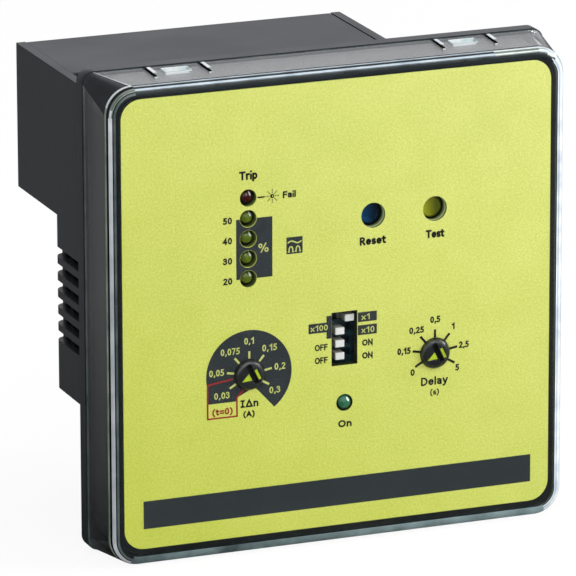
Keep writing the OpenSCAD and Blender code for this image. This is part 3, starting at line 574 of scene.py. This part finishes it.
# Where the tongues' openings and the painted highlights beside them begin and end, in mm from the cover's
# middle
SNAP_X = [23.1, 23.9, 24.6, 25.4, 27.1, 32.5, 34.2, 35.0, 35.7, 36.5]
INNER_SLIT, OUTER_SLIT, WINDOW = SNAP_X[1:3], SNAP_X[7:9], SNAP_X[4:6]
CORNER_STEPS = 11
ROUND_STEPS = 14
# How far the right side comes in at the front, and the lower side goes out, as shares of a half side
RIGHT_IN = 0.0089
LOWER_OUT = 0.0063


def rounded_loop(half, radius):
    """Points round a square of this half side and corner radius, clockwise from the top left. The
    flats on top and bottom also have points where the tongues' openings begin and end."""
    flat = np.array([-x for x in reversed(SNAP_X)] + SNAP_X)
    turn = np.radians(np.append(90, np.linspace(86.5, 0, CORNER_STEPS)))
    inner = half - radius
    top = np.stack([flat, np.full_like(flat, half)], 1)
    corner = np.stack([inner + radius * np.cos(turn), inner + radius * np.sin(turn)], 1)
    return np.concatenate([top, corner, corner[::-1] * (1, -1), top[::-1] * (1, -1), -corner,
                           corner[::-1] * (-1, 1)])


def cover_rows(rear_half, front_half, rear_r, front_r, rear, front, edge_r, stands):
    """Rings of the cover's wall: the half side and corner radius change evenly from the rear ring to
    where the front edge begins to round, then follow a quarter circle. Towards the front the right side
    comes in a little more and the lower side a little less. Returns (rows, columns, 3)."""
    def ring(half, radius, stand, share):
        x, z = rounded_loop(half, radius).T
        return np.column_stack([x * np.where(x > 0, 1 - RIGHT_IN * share, 1), np.full(len(x), -stand),
                                z * np.where(z < 0, 1 + LOWER_OUT * share, 1)])

    rings = []
    for stand in stands:
        share = (max(stand, rear) - rear) / (front - edge_r - rear)
        rings.append(ring(rear_half + (front_half - rear_half) * share, rear_r + (front_r - rear_r) * share,
                          stand, share))
    for turn in np.radians(np.linspace(0, 90, ROUND_STEPS + 1)[1:]):
        shrink = edge_r * (1 - math.cos(turn))
        rings.append(ring(front_half - shrink, front_r - shrink, front - edge_r * (1 - math.sin(turn)), 1.0))
    return np.array(rings)


def build_cover():
    """The clear cover as one closed shell: an outer and an inner wall of rings, each closed in front
    by a flat pane, joined round the rear edge, the slits beside the tongues and the catch windows."""
    stands = [3.05, 4.65, 7.25, 9.85, 12.2, 14.0]
    outer = cover_rows(rear_half=47.8, front_half=47.4, rear_r=2.2, front_r=5.5, rear=3.05, front=16.6,
                       edge_r=2.0, stands=stands + [14.6])
    inner = cover_rows(rear_half=46.6, front_half=46.2, rear_r=1.4, front_r=4.3, rear=2.55, front=15.6,
                       edge_r=0.8, stands=stands + [14.8])
    rows, columns = outer.shape[:2]
    points = np.concatenate([outer.reshape(-1, 3), inner.reshape(-1, 3)])
    index = np.arange(rows * columns).reshape(rows, columns)
    inside = index + rows * columns
    nxt = np.roll(np.arange(columns), -1)

    x, _, z = (0.5 * (outer[0] + outer[0][nxt])).T
    high = z > 0

    def between(near, far):
        """Columns of the upper and lower flats at this distance from the middle."""
        return (np.abs(z) > 47) & (np.abs(x) > near) & (np.abs(x) < far)

    kept = np.ones((rows - 1, columns), bool)
    kept[0:3, between(*INNER_SLIT) | between(*OUTER_SLIT)] = False
    kept[1, between(*WINDOW)] = False

    r, c = np.nonzero(kept)
    faces = [np.stack([index[r, c], index[r + 1, c], index[r + 1, nxt[c]], index[r, nxt[c]]], 1),
             np.stack([inside[r, c], inside[r, nxt[c]], inside[r + 1, nxt[c]], inside[r + 1, c]], 1)]
    c = np.nonzero(kept[0])[0]
    faces.append(np.stack([index[0, c], index[0, nxt[c]], inside[0, nxt[c]], inside[0, c]], 1))
    r, c = np.nonzero(kept != kept[:, nxt])
    edge = nxt[c]
    faces.append(np.stack([index[r, edge], index[r + 1, edge], inside[r + 1, edge], inside[r, edge]], 1))
    at_window = np.abs(np.abs(outer[r, edge, 0]) - np.mean(WINDOW)) < 3
    r, c = np.nonzero(kept[:-1] != kept[1:])
    r, over = r + 1, nxt[c]
    faces.append(np.stack([index[r, c], index[r, over], inside[r, over], inside[r, c]], 1))
    # Painted looks of the cut faces: mid grey round the rear edge, white at the window sides, black at the
    # slit sides, white across the ends of slits and windows
    cuts = "m" * len(faces[2]) + "".join(np.where(at_window, "x", "k")) + "x" * len(faces[4])
    panes = [index[-1].tolist(), inside[-1][::-1].tolist()]

    # Painted reflections, highlights and dark bands in the wall's last ring (first letter) and in each step
    # of the rounded front edge, by side. out_x is how far a column faces right.
    along = outer[-1][nxt] - outer[-1]
    out_x = -along[:, 2] / np.linalg.norm(along, axis=1)
    corner = high & (np.abs(x) > 45.6) & (np.abs(z) > 45.6)
    left, right = corner & (out_x < 0), corner & (out_x > 0)
    letters = "".join(COVER_LOOKS)
    looks = np.zeros((rows - 1, columns), int)
    for where, painted_steps in ((high, "kbbmnnbbmnndddd"), (high & (x > 30), "kgwwgmgwgnndddd"),
                        (~high, "ttttttttttttttt"),
                        (out_x < -0.35, "ggkkksssskmmddd"), (out_x > 0.35, "ggggggbwwwwbbwd"),
                        (left, "sgkkkmgmgkmmddd"), (left & (out_x < -0.95), "ggkkkmssgkmmddd"),
                        (right, "kgwwbgwwbmndddd"), (right & (out_x > 0.35), "mgwwwwbwwwgnddd"),
                        (right & (out_x > 0.6), "ggwwwwwwwbkkwdd"),
                        (right & (out_x > 0.72), "ggggggbwwwwbbwd")):
        looks[-1 - ROUND_STEPS:, where] = np.array([letters.index(g) for g in painted_steps])[:, None]
    # Painted dim shade on the walls of the left corners, and a silver painted reflection where they turn to
    # face the top
    looks[:-1 - ROUND_STEPS, left] = letters.index("d")
    looks[:-1 - ROUND_STEPS, left & (out_x > -0.05)] = letters.index("s")
    # Painted white highlights beside the slits, in the first two rows
    beside = np.where(x > 0, between(*SNAP_X[2:4]) | between(*SNAP_X[8:10]),
                      between(*SNAP_X[6:8]) | between(*SNAP_X[0:2]))
    looks[0:2, high & beside] = letters.index("w")
    kinds = np.concatenate([looks[kept], np.zeros(kept.sum(), int), [letters.index(g) for g in cuts], [0, 0]])

    cover = new_piece("clear_cover_shell", points, np.concatenate(faces).tolist() + panes, clear_sheet,
                      "cover", "clear_plastic")
    for letter in letters[1:]:
        cover.data.materials.append(COVER_LOOKS[letter])
    cover.data.polygons.foreach_set("material_index", kinds)
    edit_mesh(cover, turn_outwards)
    cover.data.shade_smooth()
    cover.data.set_sharp_from_angle(angle=math.radians(35))
    bevel(cover, 0.12, 50)
    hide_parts("clear_cover")


# Print on the face plate

def flat_mesh(curve_data):
    """Points (n, 2) and faces of a filled flat curve or a text."""
    holder = bpy.data.objects.new("drawing", curve_data)
    bpy.context.scene.collection.objects.link(holder)
    bpy.context.view_layer.update()
    mesh = bpy.data.meshes.new_from_object(holder.evaluated_get(bpy.context.evaluated_depsgraph_get()))
    points = np.zeros(len(mesh.vertices) * 3)
    mesh.vertices.foreach_get("co", points)
    faces = [tuple(p.vertices) for p in mesh.polygons]
    bpy.data.objects.remove(holder)
    bpy.data.meshes.remove(mesh)
    return points.reshape(-1, 3)[:, :2], faces


def bow(x, y, wide, tall, start, end, steps=14):
    """Points on an ellipse's arc about (x, y), in degrees, for a letter."""
    turn = np.radians(np.linspace(start, end, steps))
    return np.column_stack([x + wide * np.cos(turn), y + tall * np.sin(turn)])


def joined(*runs):
    return np.concatenate([np.asarray(run, float) for run in runs])


# Letters as the middle lines of their strokes, in capital heights: the width, then the strokes.
# A stroke whose last point is its first is closed.
LETTERS = {
    "0": (0.4, [bow(0.2, 0.5, 0.2, 0.5, 90, 450, 24)]),
    "1": (0.3, [[(0.02, 0.78), (0.26, 1.0), (0.26, 0.0)]]),
    "2": (0.4, [joined(bow(0.19, 0.74, 0.19, 0.26, 155, -30), [(0.0, 0.0), (0.4, 0.0)])]),
    "3": (0.38, [joined(bow(0.16, 0.76, 0.18, 0.24, 150, -80), bow(0.15, 0.27, 0.22, 0.27, 85, -150))]),
    "4": (0.46, [[(0.34, 0.0), (0.34, 1.0), (0.0, 0.3), (0.46, 0.3)]]),
    "5": (0.38, [[(0.36, 1.0), (0.08, 1.0), (0.05, 0.56)], bow(0.13, 0.31, 0.25, 0.31, 98, -125)]),
    "7": (0.4, [[(0.0, 1.0), (0.4, 1.0), (0.13, 0.0)]]),
    ",": (0.1, [[(0.08, 0.04), (0.02, -0.18)]]),
    "=": (0.4, [[(0.0, 0.24), (0.4, 0.24)], [(0.0, 0.66), (0.4, 0.66)]]),
    "%": (0.86, [bow(0.14, 0.76, 0.14, 0.22, 90, 450, 20), bow(0.72, 0.22, 0.14, 0.22, 90, 450, 20),
                 [(0.22, -0.02), (0.64, 1.02)]]),
    "(": (0.2, [bow(0.34, 0.4, 0.34, 0.72, 115, 245)]),
    ")": (0.2, [bow(-0.14, 0.4, 0.34, 0.72, 65, -65)]),
    "A": (0.66, [[(0.0, 0.0), (0.33, 1.0), (0.66, 0.0)], [(0.14, 0.3), (0.52, 0.3)]]),
    "D": (0.56, [joined([(0.0, 0.5), (0.0, 0.0), (0.16, 0.0)], bow(0.18, 0.5, 0.38, 0.5, -85, 85),
                        [(0.16, 1.0), (0.0, 1.0), (0.0, 0.5)])]),
    "F": (0.4, [[(0.0, 0.0), (0.0, 1.0), (0.4, 1.0)], [(0.0, 0.52), (0.36, 0.52)]]),
    "I": (0.34, [[(0.17, 0.0), (0.17, 1.0)], [(0.02, 1.0), (0.32, 1.0)], [(0.02, 0.0), (0.32, 0.0)]]),
    "N": (0.52, [[(0.0, 0.0), (0.0, 1.0), (0.52, 0.0), (0.52, 1.0)]]),
    "O": (0.66, [bow(0.33, 0.5, 0.33, 0.5, 90, 450, 26)]),
    "R": (0.48, [joined([(0.0, 0.0), (0.0, 1.0), (0.14, 1.0)], bow(0.17, 0.75, 0.25, 0.25, 80, -80),
                        [(0.0, 0.5)]), [(0.2, 0.48), (0.47, 0.0)]]),
    "T": (0.54, [[(0.0, 1.0), (0.54, 1.0)], [(0.27, 0.0), (0.27, 0.95)]]),
    "a": (0.38, [joined([(0.02, 0.66)], bow(0.17, 0.48, 0.2, 0.2, 100, 5), [(0.37, 0.0)]),
                 bow(0.18, 0.19, 0.17, 0.19, 70, 430, 18)]),
    "e": (0.42, [joined([(0.02, 0.36), (0.42, 0.36)], bow(0.21, 0.34, 0.21, 0.34, 10, 310))]),
    "i": (0.0, [[(0.0, 0.0), (0.0, 0.58)], [(0.0, 1.02), (0.0, 1.04)]]),
    "l": (0.0, [[(0.0, 0.0), (0.0, 1.02)]]),
    "n": (0.38, [[(0.0, 0.0), (0.0, 0.68)],
                 joined(bow(0.19, 0.46, 0.19, 0.22, 170, 0), [(0.38, 0.0)])]),
    "p": (0.4, [[(0.0, -0.3), (0.0, 0.68)], bow(0.2, 0.34, 0.2, 0.34, 90, 450, 20)]),
    "r": (0.22, [[(0.0, 0.0), (0.0, 0.68)], bow(0.22, 0.42, 0.22, 0.26, 170, 85)]),
    "s": (0.32, [joined(bow(0.16, 0.51, 0.16, 0.17, 40, 250), bow(0.16, 0.17, 0.17, 0.17, 75, -140))]),
    "t": (0.26, [joined([(0.08, 0.9)], bow(0.22, 0.14, 0.14, 0.14, 180, 280)),
                 [(-0.06, 0.66), (0.26, 0.66)]]),
    "x": (0.4, [[(0.0, 0.0), (0.4, 0.66)], [(0.0, 0.66), (0.4, 0.0)]]),
    "y": (0.42, [[(0.0, 0.68), (0.21, 0.04)], [(0.42, 0.68), (0.16, -0.2), (0.02, -0.3)]]),
    "Δ": (0.64, [[(0.32, 1.0), (0.0, 0.0), (0.64, 0.0), (0.32, 1.0)]]),
}


def join_parts(parts):
    """Points and faces of several flat or solid parts as one."""
    points, faces, count = [], [], 0
    for part, its_faces in parts:
        points.append(part)
        faces += [[i + count for i in face] for face in its_faces]
        count += len(part)
    return np.concatenate(points), faces


def word(text, left, right, base, capital, weight=0.225, gap=0.27):
    """A word drawn in strokes of even width that spans from left to right on a base line, with
    capitals of this height. Strokes have square ends, half a stroke beyond their last points."""
    stroke = weight * capital
    starts = np.cumsum([0.0] + [LETTERS[c][0] + gap for c in text])
    spare = right - left - stroke
    wide = max(starts[-1] - gap, 1e-6)
    strokes = []
    for letter, start in zip(text, starts):
        for line in LETTERS[letter][1]:
            line = np.asarray(line, float)
            path = np.column_stack([left + stroke / 2 + (line[:, 0] + start) / wide * spare,
                                    base + stroke / 2 + line[:, 1] * (capital - stroke)])
            closed = bool(np.allclose(path[0], path[-1]))
            if closed:
                path = path[:-1]
            else:
                for end, near in ((0, 1), (-1, -2)):
                    away = path[end] - path[near]
                    path[end] += away / np.linalg.norm(away) * stroke / 2
            strokes.append(band(path, stroke, closed))
    return join_parts(strokes)


def field(*outlines):
    """A filled flat field from closed outlines (n, 2). An outline within another is a hole."""
    data = bpy.data.curves.new("field", "CURVE")
    data.dimensions = "2D"
    data.fill_mode = "BOTH"
    for outline in outlines:
        line = data.splines.new("POLY")
        line.points.add(len(outline) - 1)
        rows = np.column_stack([outline, np.zeros(len(outline)), np.ones(len(outline))])
        line.points.foreach_set("co", rows.ravel())
        line.use_cyclic_u = True
    return flat_mesh(data)


def rectangle(left, right, low, high):
    return np.array([[left, low], [right, low], [right, high], [left, high]], float)


def arc(centre, radius, start, end, steps=48):
    """Points on a circle's arc, in degrees from +X towards +Z."""
    return bow(*centre, radius, radius, start, end, steps)


def band(path, width, closed=False):
    """A strip of even width along a path (n, 2): each point moves sideways along its mitre."""
    path = np.asarray(path, float)
    before = path - np.roll(path, 1, 0)
    after = np.roll(path, -1, 0) - path
    if not closed:
        before[0], after[-1] = after[0], before[-1]
    before /= np.linalg.norm(before, axis=1)[:, None]
    after /= np.linalg.norm(after, axis=1)[:, None]
    mitre = before + after
    mitre /= np.linalg.norm(mitre, axis=1)[:, None]
    side = np.column_stack([-mitre[:, 1], mitre[:, 0]])
    square = (side * np.column_stack([-before[:, 1], before[:, 0]])).sum(1)
    shift = side * (0.5 * width / np.maximum(0.35, square))[:, None]
    count = len(path)
    step = np.arange(count if closed else count - 1)
    following = (step + 1) % count
    faces = np.stack([step, following, following + count, step + count], 1)
    return np.concatenate([path + shift, path - shift]), faces.tolist()


def ray(centre, degrees, near, far, width):
    """A straight bar along a radius."""
    along = np.array([math.cos(math.radians(degrees)), math.sin(math.radians(degrees))])
    return band([np.array(centre) + along * near, np.array(centre) + along * far], width)


def print_layer(name, parts, stand, material, slot="lime_face"):
    """One ink: flat parts joined into one sheet at a stand, facing the front."""
    flat, faces = join_parts(parts)
    sheet = new_piece(name, np.column_stack([flat[:, 0], np.full(len(flat), -stand), flat[:, 1]]),
                      faces, material, "housing", slot)

    def face_front(form):
        form.normal_update()
        bmesh.ops.reverse_faces(form, faces=[f for f in form.faces if f.normal.y > 0])

    edit_mesh(sheet, face_front)


def hole(x, z, radius):
    return arc((x, z), radius, 0, 352.5, 48)


FIELD_STAND = FACE_STAND + 0.012
LETTER_STAND = FACE_STAND + 0.024
RED_STAND = FACE_STAND + 0.03
MARK_DEG = (210, 170, 130, 90, 50, 10, -30)
LAMP_HOLE_R = 1.76


def build_print():
    """The face plate's print: dark fields first, then lettering in dark, lime and red."""
    sector = joined(arc((CURRENT_DIAL[0] - 0.08, CURRENT_DIAL[1] + 0.1), 8.85, 192.9, -53.9, 90),
                    [(-17.0, -15.25), (-18.1, -14.2), (-19.6, -14.9), (-21.2, -16.5), (-21.2, -17.2),
                     (-27.31, -17.2)])
    box = joined([(-21.2, 7.13)], arc((LAMP_X, LEVEL_Z[3]), LAMP_HOLE_R, 179, 1, 24),
                 [(-13.75, 7.13), (-13.75, 19.1)], arc((LAMP_X, LEVEL_Z[0]), LAMP_HOLE_R, 0, -180, 24),
                 [(-21.2, 19.1)])
    # Round the current dial, behind the level lamps, under the wave, then at the code switch and the bar
    dark = [
        field(sector, hole(*CURRENT_DIAL, 3.12)),
        field(box, *[hole(LAMP_X, z, LAMP_HOLE_R) for z in LEVEL_Z[1:3]]),
        field(rectangle(-10.85, -7.51, 11.17, 14.51)),
        field(rectangle(4.0, 7.96, -4.08, -2.12)),
        field(rectangle(4.0, 7.96, -6.71, -4.72)),
        field([(-6.3, -5.36), (-2.56, -5.36), (-2.56, -6.71), (-1.53, -6.71), (-1.53, -2.12), (-2.56, -2.12),
               (-2.56, -3.4), (-6.3, -3.4)]),
        field(rectangle(-40.6, 40.7, -40.8, -35.2)),
    ]
    print_layer("dark_print", dark, FIELD_STAND, dark_ink)

    # Text, left and right end, base line, capital height, and the stroke's share of that height
    words = [
        ("Trip", -20.53, -16.78, 26.82, 1.75), ("Fail", -11.56, -8.9, 22.44, 1.35),
        ("50", -23.9, -22.04, 18.39, 1.33), ("40", -23.97, -22.04, 14.38, 1.33),
        ("30", -23.9, -22.04, 10.37, 1.33), ("20", -23.9, -22.04, 6.36, 1.33),
        ("Reset", 4.35, 9.85, 11.27, 1.67, 0.235), ("Test", 18.2, 22.1, 11.27, 1.67, 0.235),
        ("IΔn", -20.5, -16.76, -18.64, 1.54), ("(A)", -19.9, -17.54, -20.6, 1.2, 0.24),
        ("Delay", 17.3, 22.96, -18.56, 1.69, 0.205), ("(s)", 19.25, 21.1, -20.6, 1.2, 0.2),
        ("0,5", 19.18, 21.3, -5.93, 1.33), ("0,25", 14.77, 17.87, -7.7, 1.33),
        ("1", 23.7, 24.4, -7.7, 1.33), ("0,15", 12.27, 15.07, -11.68, 1.33),
        ("2,5", 25.28, 27.37, -11.68, 1.33), ("0", 15.07, 15.95, -16.2, 1.33),
        ("5", 24.54, 25.35, -16.2, 1.33), ("On", -0.13, 2.7, -24.97, 1.45, 0.235),
    ]
    for base in (-8.97, -11.58):
        words += [("OFF", -5.0, -2.32, base, 1.28, 0.205), ("ON", 4.89, 7.1, base, 1.28, 0.23)]
    burst = (-13.75, 23.11)
    lettering = [word(*w) for w in words]
    lettering += [ray(DELAY_DIAL, a, 3.12, 4.8, 0.48) for a in MARK_DEG]
    lettering += [band([(-16.78, burst[1]), (-15.3, burst[1])], 0.28),
                  band(arc(burst, 0.33, 0, 345, 24), 0.2, closed=True),
                  band([(burst[0] - 0.22, burst[1]), (burst[0] + 0.02, burst[1])], 0.44)]
    lettering += [ray(burst, 45 * k, near, near + 0.17, 0.22)
                  for k in range(8) for near in (0.62, 0.92, 1.22)]
    print_layer("dark_lettering", lettering, LETTER_STAND, lettering_ink)

    pale = [word(*w, 0.17) for w in [
        ("0,1", -19.63, -17.6, -5.98, 1.32), ("0,075", -24.5, -20.57, -7.75, 1.32),
        ("0,15", -15.92, -12.88, -7.75, 1.32), ("0,05", -26.9, -23.84, -11.72, 1.32),
        ("0,2", -13.39, -11.13, -11.72, 1.32), ("0,03", -25.9, -22.7, -16.37, 1.32),
        ("0,3", -14.47, -12.2, -16.37, 1.32),
        ("x100", -5.86, -2.3, -4.96, 1.17), ("x1", 4.76, 6.5, -3.7, 1.2), ("x10", 4.76, 7.42, -6.35, 1.2)]]
    pale.append(word("%", -16.65, -14.53, 12.12, 1.82, 0.14))
    pale += [ray(CURRENT_DIAL, a, 3.2, 4.7, 0.42) for a in MARK_DEG]
    wave = np.linspace(0, 1, 24)
    pale.append(band(np.column_stack([-10.62 + 2.9 * wave,
                                      13.35 + 0.3 * wave + 0.28 * np.sin(2 * math.pi * wave)]), 0.27))
    for foot in (-10.45, -9.0):
        pale.append(band(joined([(foot - 0.12, 11.6), (foot + 0.14, 11.6)],
                                bow(foot + 0.52, 12.0, 0.38, 0.6, 172, 8),
                                [(foot + 0.9, 11.6), (foot + 1.16, 11.6)]), 0.25))
    print_layer("lime_lettering", pale, LETTER_STAND, lime_ink)

    red = [word("(t=0)", -26.3, -22.09, -19.6, 1.33),
           band([(-22.0, -12.62), (-27.25, -13.35), (-27.25, -20.17), (-21.2, -20.17), (-21.2, -16.4),
                 (-19.75, -15.0)], 0.32)]
    print_layer("red_lettering", red, RED_STAND, red_ink)


def build_arrows():
    """The lime arrow in each knob: inlays that nearly fill the pockets of its head and its bar."""
    turn = math.radians(ARROW_DEG)
    along = np.array([math.cos(turn), math.sin(turn)])
    up = np.array([-math.sin(turn), math.cos(turn)])
    head = np.array([[0.12, -0.45], [2.2, 0.35], [0.12, 1.15]])
    bar = np.array([[-1.69, -0.465], [-1.11, -0.465], [-1.11, 1.715], [-1.69, 1.715]])
    for name, centre, body in (("current_arrow", CURRENT_DIAL, "current_dial"),
                               ("delay_arrow", DELAY_DIAL, "delay_dial")):
        inlays = []
        for outline in (head, bar):
            flat = np.array(centre) + outline[:, :1] * along + outline[:, 1:] * up
            sides = len(outline)
            low, high = [np.column_stack([flat[:, 0], np.full(sides, -FACE_STAND - rise_mm), flat[:, 1]])
                         for rise_mm in (0.405, 0.66)]
            step = np.arange(sides)
            walls = np.stack([step, (step + 1) % sides, (step + 1) % sides + sides, step + sides], 1)
            inlays.append((np.concatenate([low, high]),
                           [step[::-1].tolist(), (sides + step).tolist()] + walls.tolist()))
        inlay = new_piece(name, *join_parts(inlays), arrow_lime, body, "knob_plastic")
        edit_mesh(inlay, turn_outwards)
        bevel(inlay, 0.07)


def build_switch_marks():
    """Numbers on the code switch's body, turned a quarter as on the real one."""
    base_x, flatten, switch_stand = 4.1, 0.6, 11.4
    parts = []
    for number, z in zip("1234", (-3.19, -5.73, -8.27, -10.81)):
        flat, faces = word(number, -0.38, 0.38, -0.6, 1.2, 0.2)
        parts.append((np.column_stack([base_x + flat[:, 1] * flatten, z - flat[:, 0]]), faces))
    print_layer("switch_numbers", parts, switch_stand + 0.01, lettering_ink, slot="black_plastic")


# Room

def seen_rays(tree):
    """The rays that show a surface to the camera, and the outputs of their Light Path node."""
    path = tree.nodes.new("ShaderNodeLightPath").outputs
    return math_node(tree, "MAXIMUM", path["Is Camera Ray"], path["Is Transmission Ray"]), path


def build_floor():
    """A pale floor just under the part. Seen directly it is nearly white. In a mirror image it is dark near
    the part, a painted shadow, and paler far away and behind it."""
    size, z = 6.0, -0.0486
    mesh = bpy.data.meshes.new("floor")
    corners = [(-size, -size, z), (size, -size, z), (size, size, z), (-size, size, z)]
    mesh.from_pydata(corners, [], [[0, 1, 2, 3]])
    floor = bpy.data.objects.new("floor", mesh)
    bpy.context.scene.collection.objects.link(floor)

    material, tree, shader = start_material("pale_floor", Roughness=0.9)
    place = object_place(tree)
    cloud = noise(tree, place, 30.0, 3.0)
    tree.links.new(blend_colours(tree, cloud, [0.78, 0.78, 0.78, 1], [0.8, 0.8, 0.8, 1]),
                   shader.inputs["Base Color"])
    white = add(tree, "ShaderNodeEmission", Strength=1.03)
    seen, path = seen_rays(tree)
    direct = mix_shaders(tree, times(tree, seen, 0.88), shader.outputs[0], white.outputs[0])
    # Painted shadow in mirror images: dim near the part, paler far away and behind it
    far = add(tree, "ShaderNodeVectorMath", {"operation": "LENGTH"})
    tree.links.new(place, far.inputs[0])
    behind = plus(tree, times(tree, rise(tree, "Y", -20, 40), 0.82), 0.18)
    dim = add(tree, "ShaderNodeEmission")
    tree.links.new(times(tree, spread(tree, far.outputs["Value"], 0.03, 0.21, 0.02, 0.175), behind),
                   dim.inputs["Strength"])
    tree.links.new(mix_shaders(tree, path["Is Glossy Ray"], direct, dim.outputs[0]),
                   tree.nodes["Material Output"].inputs["Surface"])
    mesh.materials.append(material)


def build_backdrop():
    """A white world for the camera, a soft grey one for light, and in mirror images a cool bright
    backdrop behind the part, low and to the right."""
    world = bpy.data.worlds.new("studio")
    bpy.context.scene.world = world
    world.use_nodes = True
    tree = world.node_tree
    tree.nodes.clear()
    seen, path = seen_rays(tree)
    axes = split(tree, add(tree, "ShaderNodeTexCoord").outputs["Generated"])
    backdrop = path["Is Glossy Ray"]
    for axis, *ends in (("Y", -0.1, 0.5), ("Z", -0.02, 0.16), ("X", -0.15, 0.12, 0.0, 1.12),
                        ("Z", 0.22, 0.29, 1.0, 0.37)):
        backdrop = times(tree, backdrop, spread(tree, axes[axis], *ends))
    soft = add(tree, "ShaderNodeBackground", Color=(1, 1, 1, 1), Strength=0.3)
    cool = add(tree, "ShaderNodeBackground", Color=(0.955, 0.955, 1.0, 1), Strength=1.0)
    white = add(tree, "ShaderNodeBackground", Color=(1, 1, 1, 1), Strength=1.0)
    mirrored = mix_shaders(tree, backdrop, soft.outputs[0], cool.outputs[0])
    tree.links.new(mix_shaders(tree, seen, mirrored, white.outputs[0]),
                   tree.nodes.new("ShaderNodeOutputWorld").inputs["Surface"])


def place_lamps():
    """Soft studio lamps, each in metres and watts, that face the part."""
    for name, towards, distance, wide, tall, watts in (
            ("right_strip", (0.933, -0.2, 0.301), 1.3, 0.3, 1.0, 8.0),
            ("key_strip", (0.76, -0.47, 0.42), 1.3, 0.2, 0.6, 6.8),
            ("top_box", (0.05, -0.25, 1.0), 1.4, 1.2, 1.2, 9.0),
            ("front_box", (-0.15, -1.0, 0.75), 1.7, 1.6, 1.2, 9.0),
            ("left_box", (-1.0, -0.35, 0.25), 1.6, 0.9, 1.4, 3.0)):
        data = bpy.data.lights.new(name, "AREA")
        data.shape = "RECTANGLE"
        data.size, data.size_y = wide, tall
        data.energy = watts
        lamp = bpy.data.objects.new(name, data)
        lamp.location = np.array(towards) / np.linalg.norm(towards) * distance
        lamp.rotation_euler = lamp.location.to_track_quat("Z", "Y").to_euler()
        bpy.context.scene.collection.objects.link(lamp)


aim_camera()
dress_cad_nodes()
build_cover()
build_print()
build_arrows()
build_switch_marks()
build_floor()
build_backdrop()
place_lamps()
bpy.context.scene.view_settings.view_transform = "Standard"
